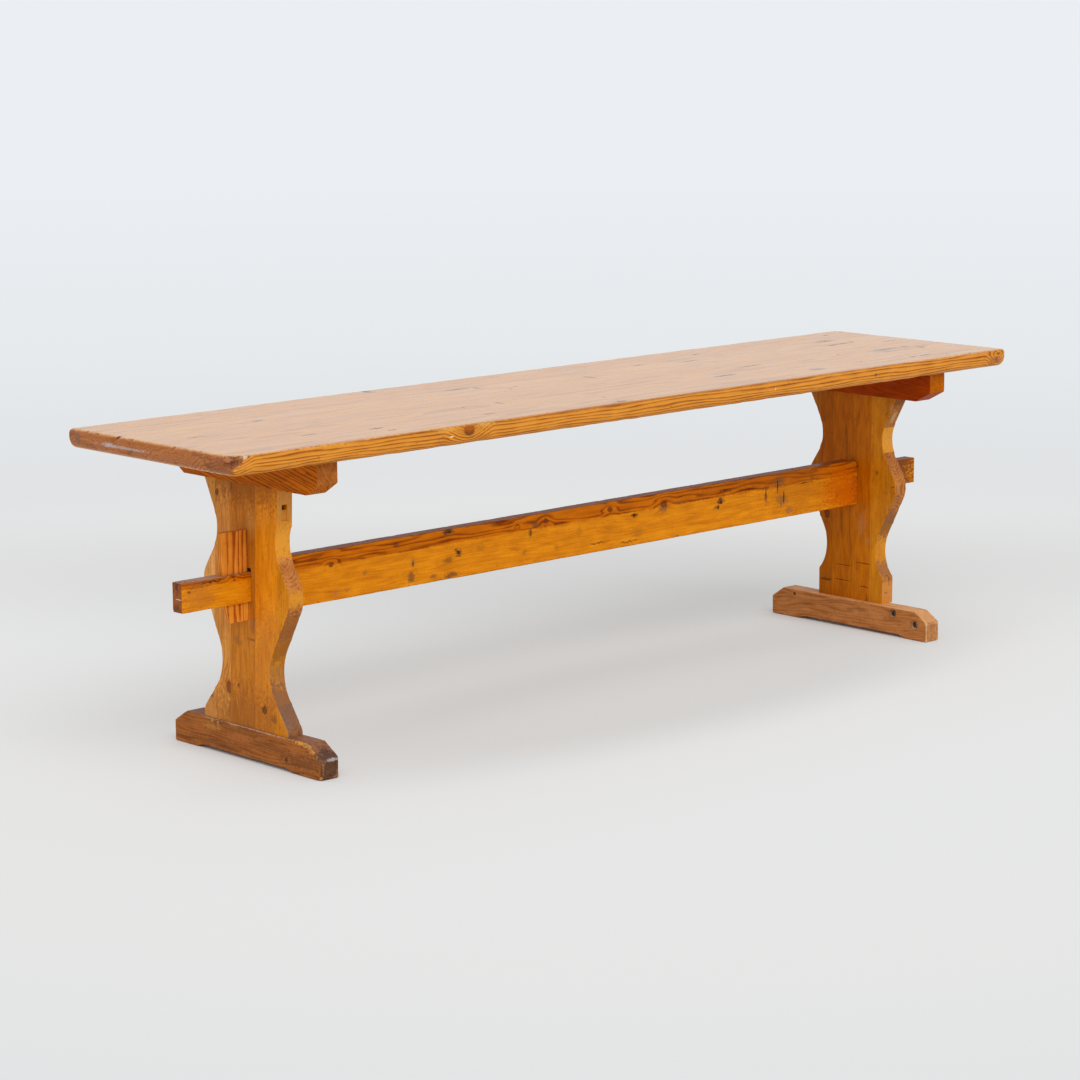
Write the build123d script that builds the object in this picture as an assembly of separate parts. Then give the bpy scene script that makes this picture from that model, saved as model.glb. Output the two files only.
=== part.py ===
"""Pine trestle bench with a wedged stretcher.

A seat of four glued boards lies on two bearers. Each bearer caps an upright that is glued up from
staves and sawn to a double-waisted outline, and each upright stands on a foot. A stretcher rail ties
the uprights: its tenons pass right through them and are held outside by upright wedges.

X runs along the bench, Y from front to back and Z up. The origin is on the floor under the middle of
the seat. All sizes are in millimetres.
"""

import math
import os

from build123d import *

# ---- Seat ----
SEAT_LENGTH = 1500.0
SEAT_BOARD_WIDTHS = [91.0, 92.0, 85.0, 78.0]  # front to back
SEAT_THICKNESS = 26.0
SEAT_CORNER_RADIUS = 12.0  # seen from above
SEAT_TOP_RADIUS = 4.0
SEAT_BOTTOM_RADIUS = 9.0

# ---- Upright outline: heights stack up from the foot to the bearer, widths are from the centre line ----
EAR_SIDE_HEIGHT = 5.0  # short plumb side above the foot
EAR_TO_WAIST = 76.5
WAIST_TO_BELLY = 102.5
BELLY_TO_NECK = 73.0
NECK_TO_HEAD = 68.0
EAR_HALF_WIDTH = 89.0
EAR_RADIUS = 14.0
WAIST_HALF_WIDTH = 50.5
WAIST_RADIUS = 63.0
BELLY_HALF_WIDTH = 90.0
BELLY_RADIUS = 40.0
NECK_HALF_WIDTH = 61.5
NECK_RADIUS = 57.0
HEAD_HALF_WIDTH = 90.0
UPRIGHT_THICKNESS = 25.0
UPRIGHT_EDGE_RADIUS = 1.5

# ---- Staves: glue lines, as distances from the upright's centre line ----
EAR_JOINT = 65.0  # the sawn outline leaves an ear, a cheek and an ear outside this line
LEFT_STAVE_JOINTS = [-20.0, -2.0, 32.0]
RIGHT_STAVE_JOINTS = [-39.0, -4.0, 38.0]

# ---- How the uprights stand ----
LEFT_UPRIGHT_OFFSET = 2.0  # centre line from the seat's middle, at half height
LEFT_UPRIGHT_LEAN = 2.0  # degrees, head towards the front
RIGHT_UPRIGHT_OFFSET = 2.0
RIGHT_UPRIGHT_LEAN = 0.0
SEAT_OVERHANG = 140.25  # past the uprights' outer faces, if the trestles stood midway
FRAME_OFFSET = 10.4  # the trestles stand this far off the middle of the seat's length

# ---- Feet ----
FOOT_HEIGHT = 44.5
LEFT_FOOT_LENGTH = 312.0
LEFT_FOOT_THICKNESS = 31.0
LEFT_FOOT_OFFSET = 5.5
LEFT_FOOT_LEDGE = 3.0  # how far the foot is proud of the upright's inner face
LEFT_FOOT_BEVEL = (28.0, 17.5)  # along the foot, down its end
LEFT_FOOT_PADS = (60.0, 50.0)  # front and back, where the foot meets the floor
RIGHT_FOOT_LENGTH = 319.0
RIGHT_FOOT_THICKNESS = 30.0
RIGHT_FOOT_OFFSET = -1.0
RIGHT_FOOT_LEDGE = 9.5
RIGHT_FOOT_BEVEL = (23.5, 15.5)
RIGHT_FOOT_PADS = (43.0, 57.5)
FOOT_RELIEF = 4.0  # hollow between the pads
RELIEF_END_RADIUS = 3.5
EDGE_RADIUS = 1.5  # broken edges of feet and bearers

# ---- Bearers ----
BEARER_HEIGHT = 44.5
BEARER_THICKNESS = 34.0
LEFT_BEARER_LENGTH = 304.0
LEFT_BEARER_OFFSET = -2.5
LEFT_BEARER_LEDGE = 6.0  # how far the bearer is proud of the upright's inner face
LEFT_BEARER_BEVEL = (24.5, 15.5)
RIGHT_BEARER_LENGTH = 309.0
RIGHT_BEARER_OFFSET = -4.5
RIGHT_BEARER_LEDGE = 7.0
RIGHT_BEARER_BEVEL = (29.0, 15.0)

# ---- Stretcher rail ----
RAIL_HEIGHT = 70.0
RAIL_LIFT = 2.5  # middle of the rail above the widest part of the upright
RAIL_THICKNESS = 20.0
RAIL_CORNER_RADIUS = 11.0
RAIL_EDGE_RADIUS = 1.0
TENON_TOP_SHOULDER = 12.0
TENON_HEIGHT = 39.5
TENON_PROUD = 112.0  # beyond the upright's outer face
TENON_BEVEL = 1.5
MORTISE_SIDE_GAP = 0.5
MORTISE_HEADROOM = 5.0
WEDGE_SLOT_SETBACK = 3.0  # the slot starts inside the mortise, so that the wedge pulls the joint tight

# ---- Wedges ----
WEDGE_THICKNESS = 8.5
WEDGE_WIDTH = 43.0
WEDGE_STAND = 56.0  # top of the wedge above the tenon
WEDGE_HEAD_LENGTH = 35.0  # parallel part
WEDGE_TAPER_LENGTH = 63.0
WEDGE_TAPER = 6.0
WEDGE_NOSE_LENGTH = 23.0
WEDGE_NOSE_TAPER = 7.0
WEDGE_BEVEL = 0.8
WEDGE_SIDE_GAP = 0.3

# ---- Loose tongues of the head ears ----
TONGUE_THICKNESS = 9.0
TONGUE_HEIGHT = 21.0
TONGUE_LENGTH = 24.0
TONGUE_DROP = 1.0  # below the ends of the head dowels

# ---- Dowels and screws ----
DOWEL_DIAMETER = 10.0
DOWEL_LENGTH = 40.0
DOWEL_GLUE_GAP = 0.1
BEARER_SCREW_SPACING = 216.0
BEARER_SCREW_LENGTH = 50.0
SCREW_DIAMETER = 5.0
SCREW_HEAD_DIAMETER = 10.0
SCREW_HEAD_HEIGHT = 3.0
BEARER_COUNTERBORE = (12.0, 12.0)  # diameter, depth
FOOT_SCREW_SPOTS = [(67.0, 36.0), (24.0, 24.0)]  # from the foot's front end, above the floor
FOOT_SCREW_LENGTH = 22.0
FOOT_COUNTERBORE = (13.0, 3.0)
PILOT_SPOT = (47.5, 37.5)  # from the foot's back end, above the floor
PILOT_HOLE = (6.0, 14.0)  # diameter, depth
SLOT_DRIVE = (1.2, 1.4)  # width and depth of a screw's slot

# ---- Worked out from the above ----
SEAT_WIDTH = sum(SEAT_BOARD_WIDTHS)
RAIL_SHOULDER_LENGTH = SEAT_LENGTH - 2 * (SEAT_OVERHANG + UPRIGHT_THICKNESS)  # between the uprights
UPRIGHT_HEIGHT = EAR_SIDE_HEIGHT + EAR_TO_WAIST + WAIST_TO_BELLY + BELLY_TO_NECK + NECK_TO_HEAD
UPRIGHT_TOP = FOOT_HEIGHT + UPRIGHT_HEIGHT
SEAT_UNDERSIDE = UPRIGHT_TOP + BEARER_HEIGHT
EAR_LEVEL = FOOT_HEIGHT + EAR_SIDE_HEIGHT
WAIST_LEVEL = EAR_LEVEL + EAR_TO_WAIST
BELLY_LEVEL = WAIST_LEVEL + WAIST_TO_BELLY
NECK_LEVEL = BELLY_LEVEL + BELLY_TO_NECK
UPRIGHT_MIDDLE = FOOT_HEIGHT + UPRIGHT_HEIGHT / 2
RAIL_TOP = BELLY_LEVEL + RAIL_LIFT + RAIL_HEIGHT / 2
TENON_TOP = RAIL_TOP - TENON_TOP_SHOULDER
TENON_BOTTOM = TENON_TOP - TENON_HEIGHT
TONGUE_LEVEL = UPRIGHT_TOP - DOWEL_LENGTH / 2 - TONGUE_DROP - TONGUE_HEIGHT / 2
LEFT, RIGHT = -1, 1
WIDE = 4 * max(HEAD_HALF_WIDTH, BELLY_HALF_WIDTH, EAR_HALF_WIDTH)  # a cutter's reach past an upright
OVERRUN = 20.0  # the outline is drawn this far past both ends, and sawn off square once it leans

os.makedirs("parts", exist_ok=True)
nodes = {}


# ---- Helpers ----
def block(x_range, y_range, z_range):
    """A box between two values on each axis, given in either order."""
    ranges = (x_range, y_range, z_range)
    middle = [(low + high) / 2 for low, high in ranges]
    sizes = [abs(high - low) for low, high in ranges]
    return Pos(*middle) * Box(*sizes)


def carried_along_x(outline, x_from, x_to):
    """A solid whose (Y, Z) outline is carried from one X to another."""
    start, end = sorted((x_from, x_to))
    plane = Plane(origin=(start, 0, 0), x_dir=(0, 1, 0), z_dir=(1, 0, 0))
    return extrude(plane * make_face(outline), amount=end - start)


def carried_along_y(corners, thickness):
    """A solid whose (X, Z) corners are carried to both sides of Y = 0."""
    face = make_face(Polyline(*corners, close=True))
    return extrude(Plane.XZ * face, amount=thickness / 2, both=True)


def upright_faces(side):
    """X of the upright's inner and outer face."""
    inner = FRAME_OFFSET + side * RAIL_SHOULDER_LENGTH / 2
    return inner, inner + side * UPRIGHT_THICKNESS


def upright_middle_x(side):
    inner, outer = upright_faces(side)
    return (inner + outer) / 2


def upright_stance(side):
    """Offset and lean of an upright."""
    if side == LEFT:
        return LEFT_UPRIGHT_OFFSET, LEFT_UPRIGHT_LEAN
    return RIGHT_UPRIGHT_OFFSET, RIGHT_UPRIGHT_LEAN


def stood_up(side, solid):
    """Lean a solid that is drawn about a plumb centre line as the upright leans."""
    offset, lean = upright_stance(side)
    hinge = Axis((0, 0, UPRIGHT_MIDDLE), (1, 0, 0))
    return Pos(0, offset, 0) * solid.rotate(hinge, lean)


def line_y(side, distance, level):
    """Y, at one level, of a line that lies this far from the upright's centre line."""
    offset, lean = upright_stance(side)
    angle = math.radians(lean)
    return offset + distance / math.cos(angle) - (level - UPRIGHT_MIDDLE) * math.tan(angle)


# ---- Upright outline ----
def crossing_tangent(centre_a, radius_a, centre_b, radius_b, outward):
    """Ends of the straight line that leaves one circle and meets the next on its other side."""
    along = (centre_b - centre_a).normalized()
    across = Vector(along.Y, -along.X)
    share = (radius_a + radius_b) / (centre_b - centre_a).length
    normal = along * share + across * (outward * math.sqrt(1 - share * share))
    return centre_a + normal * radius_a, centre_b - normal * radius_b


def fitting_radii(levels, widths, radii):
    """The wanted radii, made smaller only where a flank is too short for the arcs at its two ends."""
    shares = [1.0] * len(radii)
    for lower in range(len(radii) - 1):
        depth = abs(widths[lower + 1] - widths[lower])
        rise = levels[lower + 1] - levels[lower]
        room = 0.98 * (depth**2 + rise**2) / (2 * depth)
        share = min(1.0, room / (radii[lower] + radii[lower + 1]))
        shares[lower] = min(shares[lower], share)
        shares[lower + 1] = min(shares[lower + 1], share)
    return [radius * share for radius, share in zip(radii, shares)]


def half_outline():
    """Edges up one side of the upright: arcs at ear, waist, belly and neck, and straight flanks."""
    levels = [EAR_LEVEL, WAIST_LEVEL, BELLY_LEVEL, NECK_LEVEL, UPRIGHT_TOP]
    widths = [EAR_HALF_WIDTH, WAIST_HALF_WIDTH, BELLY_HALF_WIDTH, NECK_HALF_WIDTH, HEAD_HALF_WIDTH]
    radii = fitting_radii(levels, widths, [EAR_RADIUS, WAIST_RADIUS, BELLY_RADIUS, NECK_RADIUS, 0.0])
    bulges = [1, -1, 1, -1, 1]
    centres = [Vector(width - bulge * radius, level)
               for level, width, radius, bulge in zip(levels, widths, radii, bulges)]
    start = Vector(EAR_HALF_WIDTH, EAR_LEVEL)
    edges = [Line(start - Vector(0, OVERRUN), start)]
    for number in range(4):
        centre, radius = centres[number], radii[number]
        leave, meet = crossing_tangent(
            centre, radius, centres[number + 1], radii[number + 1], bulges[number]
        )
        through = Vector(widths[number], levels[number])
        if number == 0:
            turn = math.atan2(leave.Y - centre.Y, leave.X - centre.X) / 2
            through = centre + Vector(math.cos(turn), math.sin(turn)) * radius
        edges += [ThreePointArc(start, through, leave), Line(leave, meet)]
        start = meet
    flank = (edges[-1] @ 1 - edges[-1] @ 0).normalized()
    edges[-1] = Line(edges[-1] @ 0, start + flank * OVERRUN)
    return edges


def upright_blank(side):
    """The whole sawn upright, before its glue lines, mortise and lost ears are taken into account."""
    back_edges = half_outline()
    front_edges = [mirror(edge, Plane.YZ) for edge in back_edges]
    low = Line(front_edges[0] @ 0, back_edges[0] @ 0)
    high = Line(front_edges[-1] @ 1, back_edges[-1] @ 1)
    inner, outer = upright_faces(side)
    blank = carried_along_x([low, high, *back_edges, *front_edges], inner, outer)
    rims = blank.edges().filter_by(Axis.X, reverse=True)
    blank = stood_up(side, fillet(rims, UPRIGHT_EDGE_RADIUS))
    return blank & block((inner, outer), (-WIDE, WIDE), (FOOT_HEIGHT, UPRIGHT_TOP))


def between_lines(side, near, far, low=0.0, high=2 * UPRIGHT_TOP):
    """A leaning slab between two lines of an upright, used to part its staves."""
    inner, outer = upright_faces(side)
    slab = block((inner - WIDE, outer + WIDE), (near, far), (low, high))
    return stood_up(side, slab)


def mortise(side):
    """Room for the tenon, with a gap left above it."""
    inner, outer = upright_faces(side)
    half = RAIL_THICKNESS / 2 + MORTISE_SIDE_GAP
    return block((inner, outer), (-half, half), (TENON_BOTTOM, TENON_TOP + MORTISE_HEADROOM))


def dowel_lines(joints):
    """Centre lines of the staves that are wide enough to take a dowel."""
    lines = [-EAR_JOINT, *joints, EAR_JOINT]
    pairs = zip(lines, lines[1:])
    return [(low + high) / 2 for low, high in pairs if high - low > 2 * DOWEL_DIAMETER]


def dowels(side, joints, level, gap=0.0):
    """One plumb dowel in each wide stave, half above and half below a level."""
    pegs = []
    for line in dowel_lines(joints):
        place = Pos(upright_middle_x(side), line_y(side, line, level), level)
        pegs.append(place * Cylinder(DOWEL_DIAMETER / 2 + gap, DOWEL_LENGTH + 2 * gap))
    return pegs


def tongue(side, end, gap=0.0):
    """A loose tongue half in the upright's core and half in its head ear; end is -1 or 1."""
    shape = Box(TONGUE_THICKNESS + gap, TONGUE_LENGTH + gap, TONGUE_HEIGHT + gap)
    return stood_up(side, Pos(upright_middle_x(side), end * EAR_JOINT, TONGUE_LEVEL) * shape)


def make_upright(name, side, joints, lost):
    """Core staves, ears and cheeks of one upright; lost names the ears that are broken away."""
    blank = upright_blank(side)
    blank -= mortise(side)
    for level in (FOOT_HEIGHT, UPRIGHT_TOP):
        blank -= dowels(side, joints, level, DOWEL_GLUE_GAP)
    for end in (-1, 1):
        blank -= tongue(side, end, DOWEL_GLUE_GAP)
    lines = [-EAR_JOINT, *joints, EAR_JOINT]
    for number, (near, far) in enumerate(zip(lines, lines[1:]), 1):
        nodes[f"{name}_stave_{number}"] = blank & between_lines(side, near, far)
    heights = {
        "foot_ear": (0.0, WAIST_LEVEL),
        "cheek": (WAIST_LEVEL, NECK_LEVEL),
        "head_ear": (NECK_LEVEL, 2 * UPRIGHT_TOP),
    }
    for place, end in (("front", -1), ("back", 1)):
        for part, (low, high) in heights.items():
            if f"{place}_{part}" in lost:
                continue
            slab = between_lines(side, end * EAR_JOINT, end * WIDE, low, high)
            nodes[f"{name}_{place}_{part}"] = blank & slab


# ---- Feet and bearers ----
def bevelled_beam(inner, thickness, middle, length, low, high, bevel, bevel_at_top):
    """A beam along Y with both ends bevelled on its upper or lower side, and all edges broken."""
    along, down = bevel
    flat, cut = (low, high - down) if bevel_at_top else (high, low + down)
    bevelled = high if bevel_at_top else low
    front = middle - length / 2
    back = middle + length / 2
    corners = [(front, flat), (front, cut), (front + along, bevelled)]
    corners += [(back - along, bevelled), (back, cut), (back, flat)]
    beam = carried_along_x(Polyline(*corners, close=True), inner, inner + thickness)
    return fillet(beam.edges(), EDGE_RADIUS)


def make_foot(side, length, thickness, offset, ledge, bevel, pads):
    """A foot with bevelled ends and a shallow hollow between its two pads."""
    inner = upright_faces(side)[0] - side * ledge
    foot = bevelled_beam(inner, side * thickness, offset, length, 0.0, FOOT_HEIGHT, bevel, True)
    front = offset - length / 2 + pads[0]
    back = offset + length / 2 - pads[1]
    across = (inner - side * thickness, inner + 2 * side * thickness)
    hollow = block(across, (front, back), (-FOOT_RELIEF, FOOT_RELIEF))
    ends = hollow.edges().filter_by(Axis.X).group_by(Axis.Z)[-1]
    return foot - fillet(ends, RELIEF_END_RADIUS)


def make_bearer(side, length, offset, ledge, bevel):
    """A bearer with bevelled ends, proud of both faces of its upright."""
    inner = upright_faces(side)[0] - side * ledge
    thickness = side * BEARER_THICKNESS
    return bevelled_beam(inner, thickness, offset, length, UPRIGHT_TOP, SEAT_UNDERSIDE, bevel, False)


# ---- Screws ----
def screw(length):
    """A slotted countersunk wood screw, pointing up, with the face of its head at the origin."""
    neck = SCREW_DIAMETER / 2
    point = Pos(0, 0, length - SCREW_DIAMETER) * Cone(
        neck, neck / 4, SCREW_DIAMETER, align=(Align.CENTER, Align.CENTER, Align.MIN)
    )
    head = Cone(
        SCREW_HEAD_DIAMETER / 2, neck, SCREW_HEAD_HEIGHT, align=(Align.CENTER, Align.CENTER, Align.MIN)
    )
    shank_length = length - SCREW_DIAMETER - SCREW_HEAD_HEIGHT
    shank = Pos(0, 0, SCREW_HEAD_HEIGHT + shank_length / 2) * Cylinder(neck, shank_length)
    width, depth = SLOT_DRIVE
    return head + shank + point - Box(2 * SCREW_HEAD_DIAMETER, width, 2 * depth)


def screw_hole(length, counterbore):
    """Room for a screw whose head lies at the bottom of a counterbore, drawn as screw is."""
    diameter, depth = counterbore
    bore = Cylinder(diameter / 2, 2 * depth)
    seat = Pos(0, 0, depth) * Cone(
        SCREW_HEAD_DIAMETER / 2, SCREW_DIAMETER / 2, SCREW_HEAD_HEIGHT,
        align=(Align.CENTER, Align.CENTER, Align.MIN),
    )
    shank = Pos(0, 0, depth + length / 2) * Cylinder(SCREW_DIAMETER / 2, length)
    return bore + seat + shank


# ---- Seat ----
def make_seat_boards():
    """Boards glued edge to edge, then rounded together at the corners and edges."""
    front = -SEAT_WIDTH / 2
    z_range = (SEAT_UNDERSIDE, SEAT_UNDERSIDE + SEAT_THICKNESS)
    x_range = (-SEAT_LENGTH / 2, SEAT_LENGTH / 2)
    seat = block(x_range, (front, -front), z_range)
    seat = fillet(seat.edges().filter_by(Axis.Z), SEAT_CORNER_RADIUS)
    seat = fillet(seat.faces().sort_by(Axis.Z)[-1].edges(), SEAT_TOP_RADIUS)
    seat = fillet(seat.faces().sort_by(Axis.Z)[0].edges(), SEAT_BOTTOM_RADIUS)
    for number, width in enumerate(SEAT_BOARD_WIDTHS, 1):
        nodes[f"seat_board_{number}"] = seat & block(x_range, (front, front + width), z_range)
        front += width


# ---- Rail and wedges ----
def taper_x(side, level):
    """X of the wedge's sloping back at a level, carried on past the ends of the slope."""
    outer = upright_faces(side)[1]
    fallen = TENON_TOP + WEDGE_STAND - WEDGE_HEAD_LENGTH - level
    return outer + side * (WEDGE_WIDTH - WEDGE_TAPER * fallen / WEDGE_TAPER_LENGTH)


def make_wedge(side):
    """A flat wedge: a parallel head, a slow taper that bites in the slot, and a steeper nose."""
    outer = upright_faces(side)[1]
    top = TENON_TOP + WEDGE_STAND
    taper_top = top - WEDGE_HEAD_LENGTH
    taper_end = taper_top - WEDGE_TAPER_LENGTH
    nose = taper_end - WEDGE_NOSE_LENGTH
    nose_width = WEDGE_WIDTH - WEDGE_TAPER - WEDGE_NOSE_TAPER
    corners = [
        (outer, nose),
        (outer, top),
        (outer + side * WEDGE_WIDTH, top),
        (outer + side * WEDGE_WIDTH, taper_top),
        (taper_x(side, taper_end), taper_end),
        (outer + side * nose_width, nose),
    ]
    wedge = carried_along_y(corners, WEDGE_THICKNESS)
    return chamfer(wedge.edges(), WEDGE_BEVEL)


def wedge_slot(side):
    """A slot through the tenon whose outer end slopes as the wedge does."""
    start = upright_faces(side)[1] - side * WEDGE_SLOT_SETBACK
    low = TENON_BOTTOM - TENON_HEIGHT
    high = TENON_TOP + TENON_HEIGHT
    corners = [(start, low), (start, high), (taper_x(side, high), high), (taper_x(side, low), low)]
    return carried_along_y(corners, WEDGE_THICKNESS + 2 * WEDGE_SIDE_GAP)


def make_rail():
    """The rail between its shoulders, with a long through tenon at each end."""
    half = RAIL_THICKNESS / 2
    shoulders = (upright_faces(LEFT)[0], upright_faces(RIGHT)[0])
    rail = block(shoulders, (-half, half), (RAIL_TOP - RAIL_HEIGHT, RAIL_TOP))
    corners = rail.edges().filter_by(Axis.Y).group_by(Axis.Z)[-1]
    rail = fillet(corners, RAIL_CORNER_RADIUS)
    rims = rail.faces().filter_by(Axis.Y).edges()
    rail = fillet(rims, RAIL_EDGE_RADIUS)
    for side in (LEFT, RIGHT):
        shoulder, outer = upright_faces(side)
        tip = outer + side * TENON_PROUD
        root = shoulder - side * TENON_HEIGHT  # inside the rail, past its rounded edges
        tenon = block((root, tip), (-half, half), (TENON_BOTTOM, TENON_TOP))
        rim = tenon.faces().sort_by(Axis.X)[0 if side == LEFT else -1].edges()
        rail += chamfer(rim, TENON_BEVEL)
        rail -= wedge_slot(side)
    return rail


# ---- Put together ----
make_seat_boards()
make_upright("left_upright", LEFT, LEFT_STAVE_JOINTS, lost=["front_head_ear"])
make_upright("right_upright", RIGHT, RIGHT_STAVE_JOINTS, lost=["front_foot_ear", "back_foot_ear"])

nodes["left_foot"] = make_foot(
    LEFT, LEFT_FOOT_LENGTH, LEFT_FOOT_THICKNESS, LEFT_FOOT_OFFSET, LEFT_FOOT_LEDGE,
    LEFT_FOOT_BEVEL, LEFT_FOOT_PADS,
)
nodes["right_foot"] = make_foot(
    RIGHT, RIGHT_FOOT_LENGTH, RIGHT_FOOT_THICKNESS, RIGHT_FOOT_OFFSET, RIGHT_FOOT_LEDGE,
    RIGHT_FOOT_BEVEL, RIGHT_FOOT_PADS,
)
nodes["left_bearer"] = make_bearer(
    LEFT, LEFT_BEARER_LENGTH, LEFT_BEARER_OFFSET, LEFT_BEARER_LEDGE, LEFT_BEARER_BEVEL
)
nodes["right_bearer"] = make_bearer(
    RIGHT, RIGHT_BEARER_LENGTH, RIGHT_BEARER_OFFSET, RIGHT_BEARER_LEDGE, RIGHT_BEARER_BEVEL
)
nodes["stretcher_rail"] = make_rail()
nodes["left_wedge"] = make_wedge(LEFT)
nodes["right_wedge"] = make_wedge(RIGHT)

# Dowels join each upright to its foot and its bearer, and screws hold each bearer to the seat.
for name, side, joints, bearer_offset in (
    ("left", LEFT, LEFT_STAVE_JOINTS, LEFT_BEARER_OFFSET),
    ("right", RIGHT, RIGHT_STAVE_JOINTS, RIGHT_BEARER_OFFSET),
):
    nodes[f"{name}_foot"] -= dowels(side, joints, FOOT_HEIGHT, DOWEL_GLUE_GAP)
    nodes[f"{name}_bearer"] -= dowels(side, joints, UPRIGHT_TOP, DOWEL_GLUE_GAP)
    nodes[f"{name}_foot_dowels"] = Compound(dowels(side, joints, FOOT_HEIGHT))
    nodes[f"{name}_head_dowels"] = Compound(dowels(side, joints, UPRIGHT_TOP))
    screws = []
    for end in (-1, 1):
        place = Pos(upright_middle_x(side), bearer_offset + end * BEARER_SCREW_SPACING / 2, UPRIGHT_TOP)
        hole = place * screw_hole(BEARER_SCREW_LENGTH, BEARER_COUNTERBORE)
        nodes[f"{name}_bearer"] -= hole
        for number in range(1, len(SEAT_BOARD_WIDTHS) + 1):
            nodes[f"seat_board_{number}"] -= hole
        screws.append(place * Pos(0, 0, BEARER_COUNTERBORE[1]) * screw(BEARER_SCREW_LENGTH))
    nodes[f"{name}_bearer_screws"] = Compound(screws)

# Tongues stay in the head ears that are left, and were sawn to the outline with them.
nodes["left_ear_tongue"] = tongue(LEFT, 1) & upright_blank(LEFT)
nodes["right_ear_tongues"] = Compound([tongue(RIGHT, end) & upright_blank(RIGHT) for end in (-1, 1)])

# The right foot is a later piece, screwed through its inner face, with one pilot hole left empty.
foot_face = upright_faces(RIGHT)[0] - RIGHT_FOOT_LEDGE
foot_front = RIGHT_FOOT_OFFSET - RIGHT_FOOT_LENGTH / 2
foot_back = RIGHT_FOOT_OFFSET + RIGHT_FOOT_LENGTH / 2
foot_screws = []
for from_front, height in FOOT_SCREW_SPOTS:
    place = Pos(foot_face, foot_front + from_front, height) * Rot(0, 90, 0)
    nodes["right_foot"] -= place * screw_hole(FOOT_SCREW_LENGTH, FOOT_COUNTERBORE)
    foot_screws.append(place * Pos(0, 0, FOOT_COUNTERBORE[1]) * screw(FOOT_SCREW_LENGTH))
nodes["right_foot_screws"] = Compound(foot_screws)
pilot_place = Pos(foot_face, foot_back - PILOT_SPOT[0], PILOT_SPOT[1]) * Rot(0, 90, 0)
nodes["right_foot"] -= pilot_place * Cylinder(PILOT_HOLE[0] / 2, 2 * PILOT_HOLE[1])

for name, solid in nodes.items():
    export_step(solid, f"parts/{name}.step")
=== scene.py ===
"""Pine trestle bench with a wedged stretcher, as it looks after long use.

The file follows the bench as it is put together: uprights, feet, bearers, rail, wedges, seat, hidden
fixings, and last the floor, the light and the camera. X runs along the bench, Y from front to back and
Z up. Sizes are in millimetres and become metres when a mesh or the camera is made. Only the floor is
laid out in metres.
"""

import itertools
import math

import bmesh
import bpy
import numpy as np
from mathutils import Matrix, Vector


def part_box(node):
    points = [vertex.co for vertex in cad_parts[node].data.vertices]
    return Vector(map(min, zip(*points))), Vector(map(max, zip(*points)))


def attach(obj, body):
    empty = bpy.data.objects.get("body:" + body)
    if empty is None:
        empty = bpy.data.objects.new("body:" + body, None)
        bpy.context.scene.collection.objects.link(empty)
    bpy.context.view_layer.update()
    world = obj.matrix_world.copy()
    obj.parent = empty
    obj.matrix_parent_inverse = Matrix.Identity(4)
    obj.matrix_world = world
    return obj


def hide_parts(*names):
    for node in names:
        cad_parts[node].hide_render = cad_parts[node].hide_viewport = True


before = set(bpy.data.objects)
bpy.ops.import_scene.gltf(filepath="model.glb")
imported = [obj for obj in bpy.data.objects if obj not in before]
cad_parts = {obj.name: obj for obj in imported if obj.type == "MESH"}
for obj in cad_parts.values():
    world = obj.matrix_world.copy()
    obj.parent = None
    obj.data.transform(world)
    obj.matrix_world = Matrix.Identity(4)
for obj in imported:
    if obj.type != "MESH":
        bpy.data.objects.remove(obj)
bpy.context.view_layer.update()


# ---- Core staves of the uprights ----
# Planed pine staves, glued edge to edge into a 25 mm panel and sawn to a double-waisted outline. The
# glue lines show because each stave has its own grain and tone under the amber lacquer. The left
# upright leans a little to the front. A mortise for the rail's tenon is cut where two staves meet.
MM = 0.001
UPRIGHT_OFFSET = 2.0  # how far the uprights stand behind the middle of the seat
LEAN = {"left": math.radians(2.0), "right": 0.0}
STAVE_JOINTS = {"left": [-65.0, -20.0, -2.0, 32.0, 65.0], "right": [-65.0, -39.0, -4.0, 38.0, 65.0]}
OUTLINE_LEVELS = [49.5, 126.0, 228.5, 301.5, 369.5]  # ear, waist, belly, neck, head
OUTLINE_WIDTHS = [89.0, 50.5, 90.0, 61.5, 90.0]  # half widths
OUTLINE_RADII = [14.0, 63.0, 40.0, 57.0, 0.0]
OUTLINE_BULGES = [1, -1, 1, -1, 1]  # outwards and inwards
HEAD_FLANK = (15.0, 22.0)  # out and up, past the top of the head
SAWN_ARRIS = 1.5
ARRIS_SWING, ARRIS_LENGTH = 0.35, 17.0  # share by which an arris's radius varies, and over what length
WAVE_HEIGHT, WAVE_LENGTH = 0.12, 70.0  # of a planed edge that has been handled for years
CHIP_LENGTHS = (11.0, 4.5)  # coarse and fine raggedness of a worn arris
RUB_LENGTH = 23.0  # how far a rubbed stretch of an arris runs
WELD_DISTANCE, SLIVER = 0.004, 0.001
SHARP_FROM = math.radians(38)
MORTISE_HALF_WIDTH = 10.5
MORTISE_LEVELS = (214.5, 259.0)
SLOT_THICKNESS = 9.0  # the slot of the lost ear's loose tongue
SLOT_CUTS = [((341.5, 348.5), 12.0), ((327.5, 342.0), 1.6)]  # open at the top, the broken stub below
UPRIGHT_DIRT = "#5E4430"


def limits(node):
    """Lowest and highest corner of a CAD node, in millimetres."""
    low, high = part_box(node)
    return np.array(low) / MM, np.array(high) / MM


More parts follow.
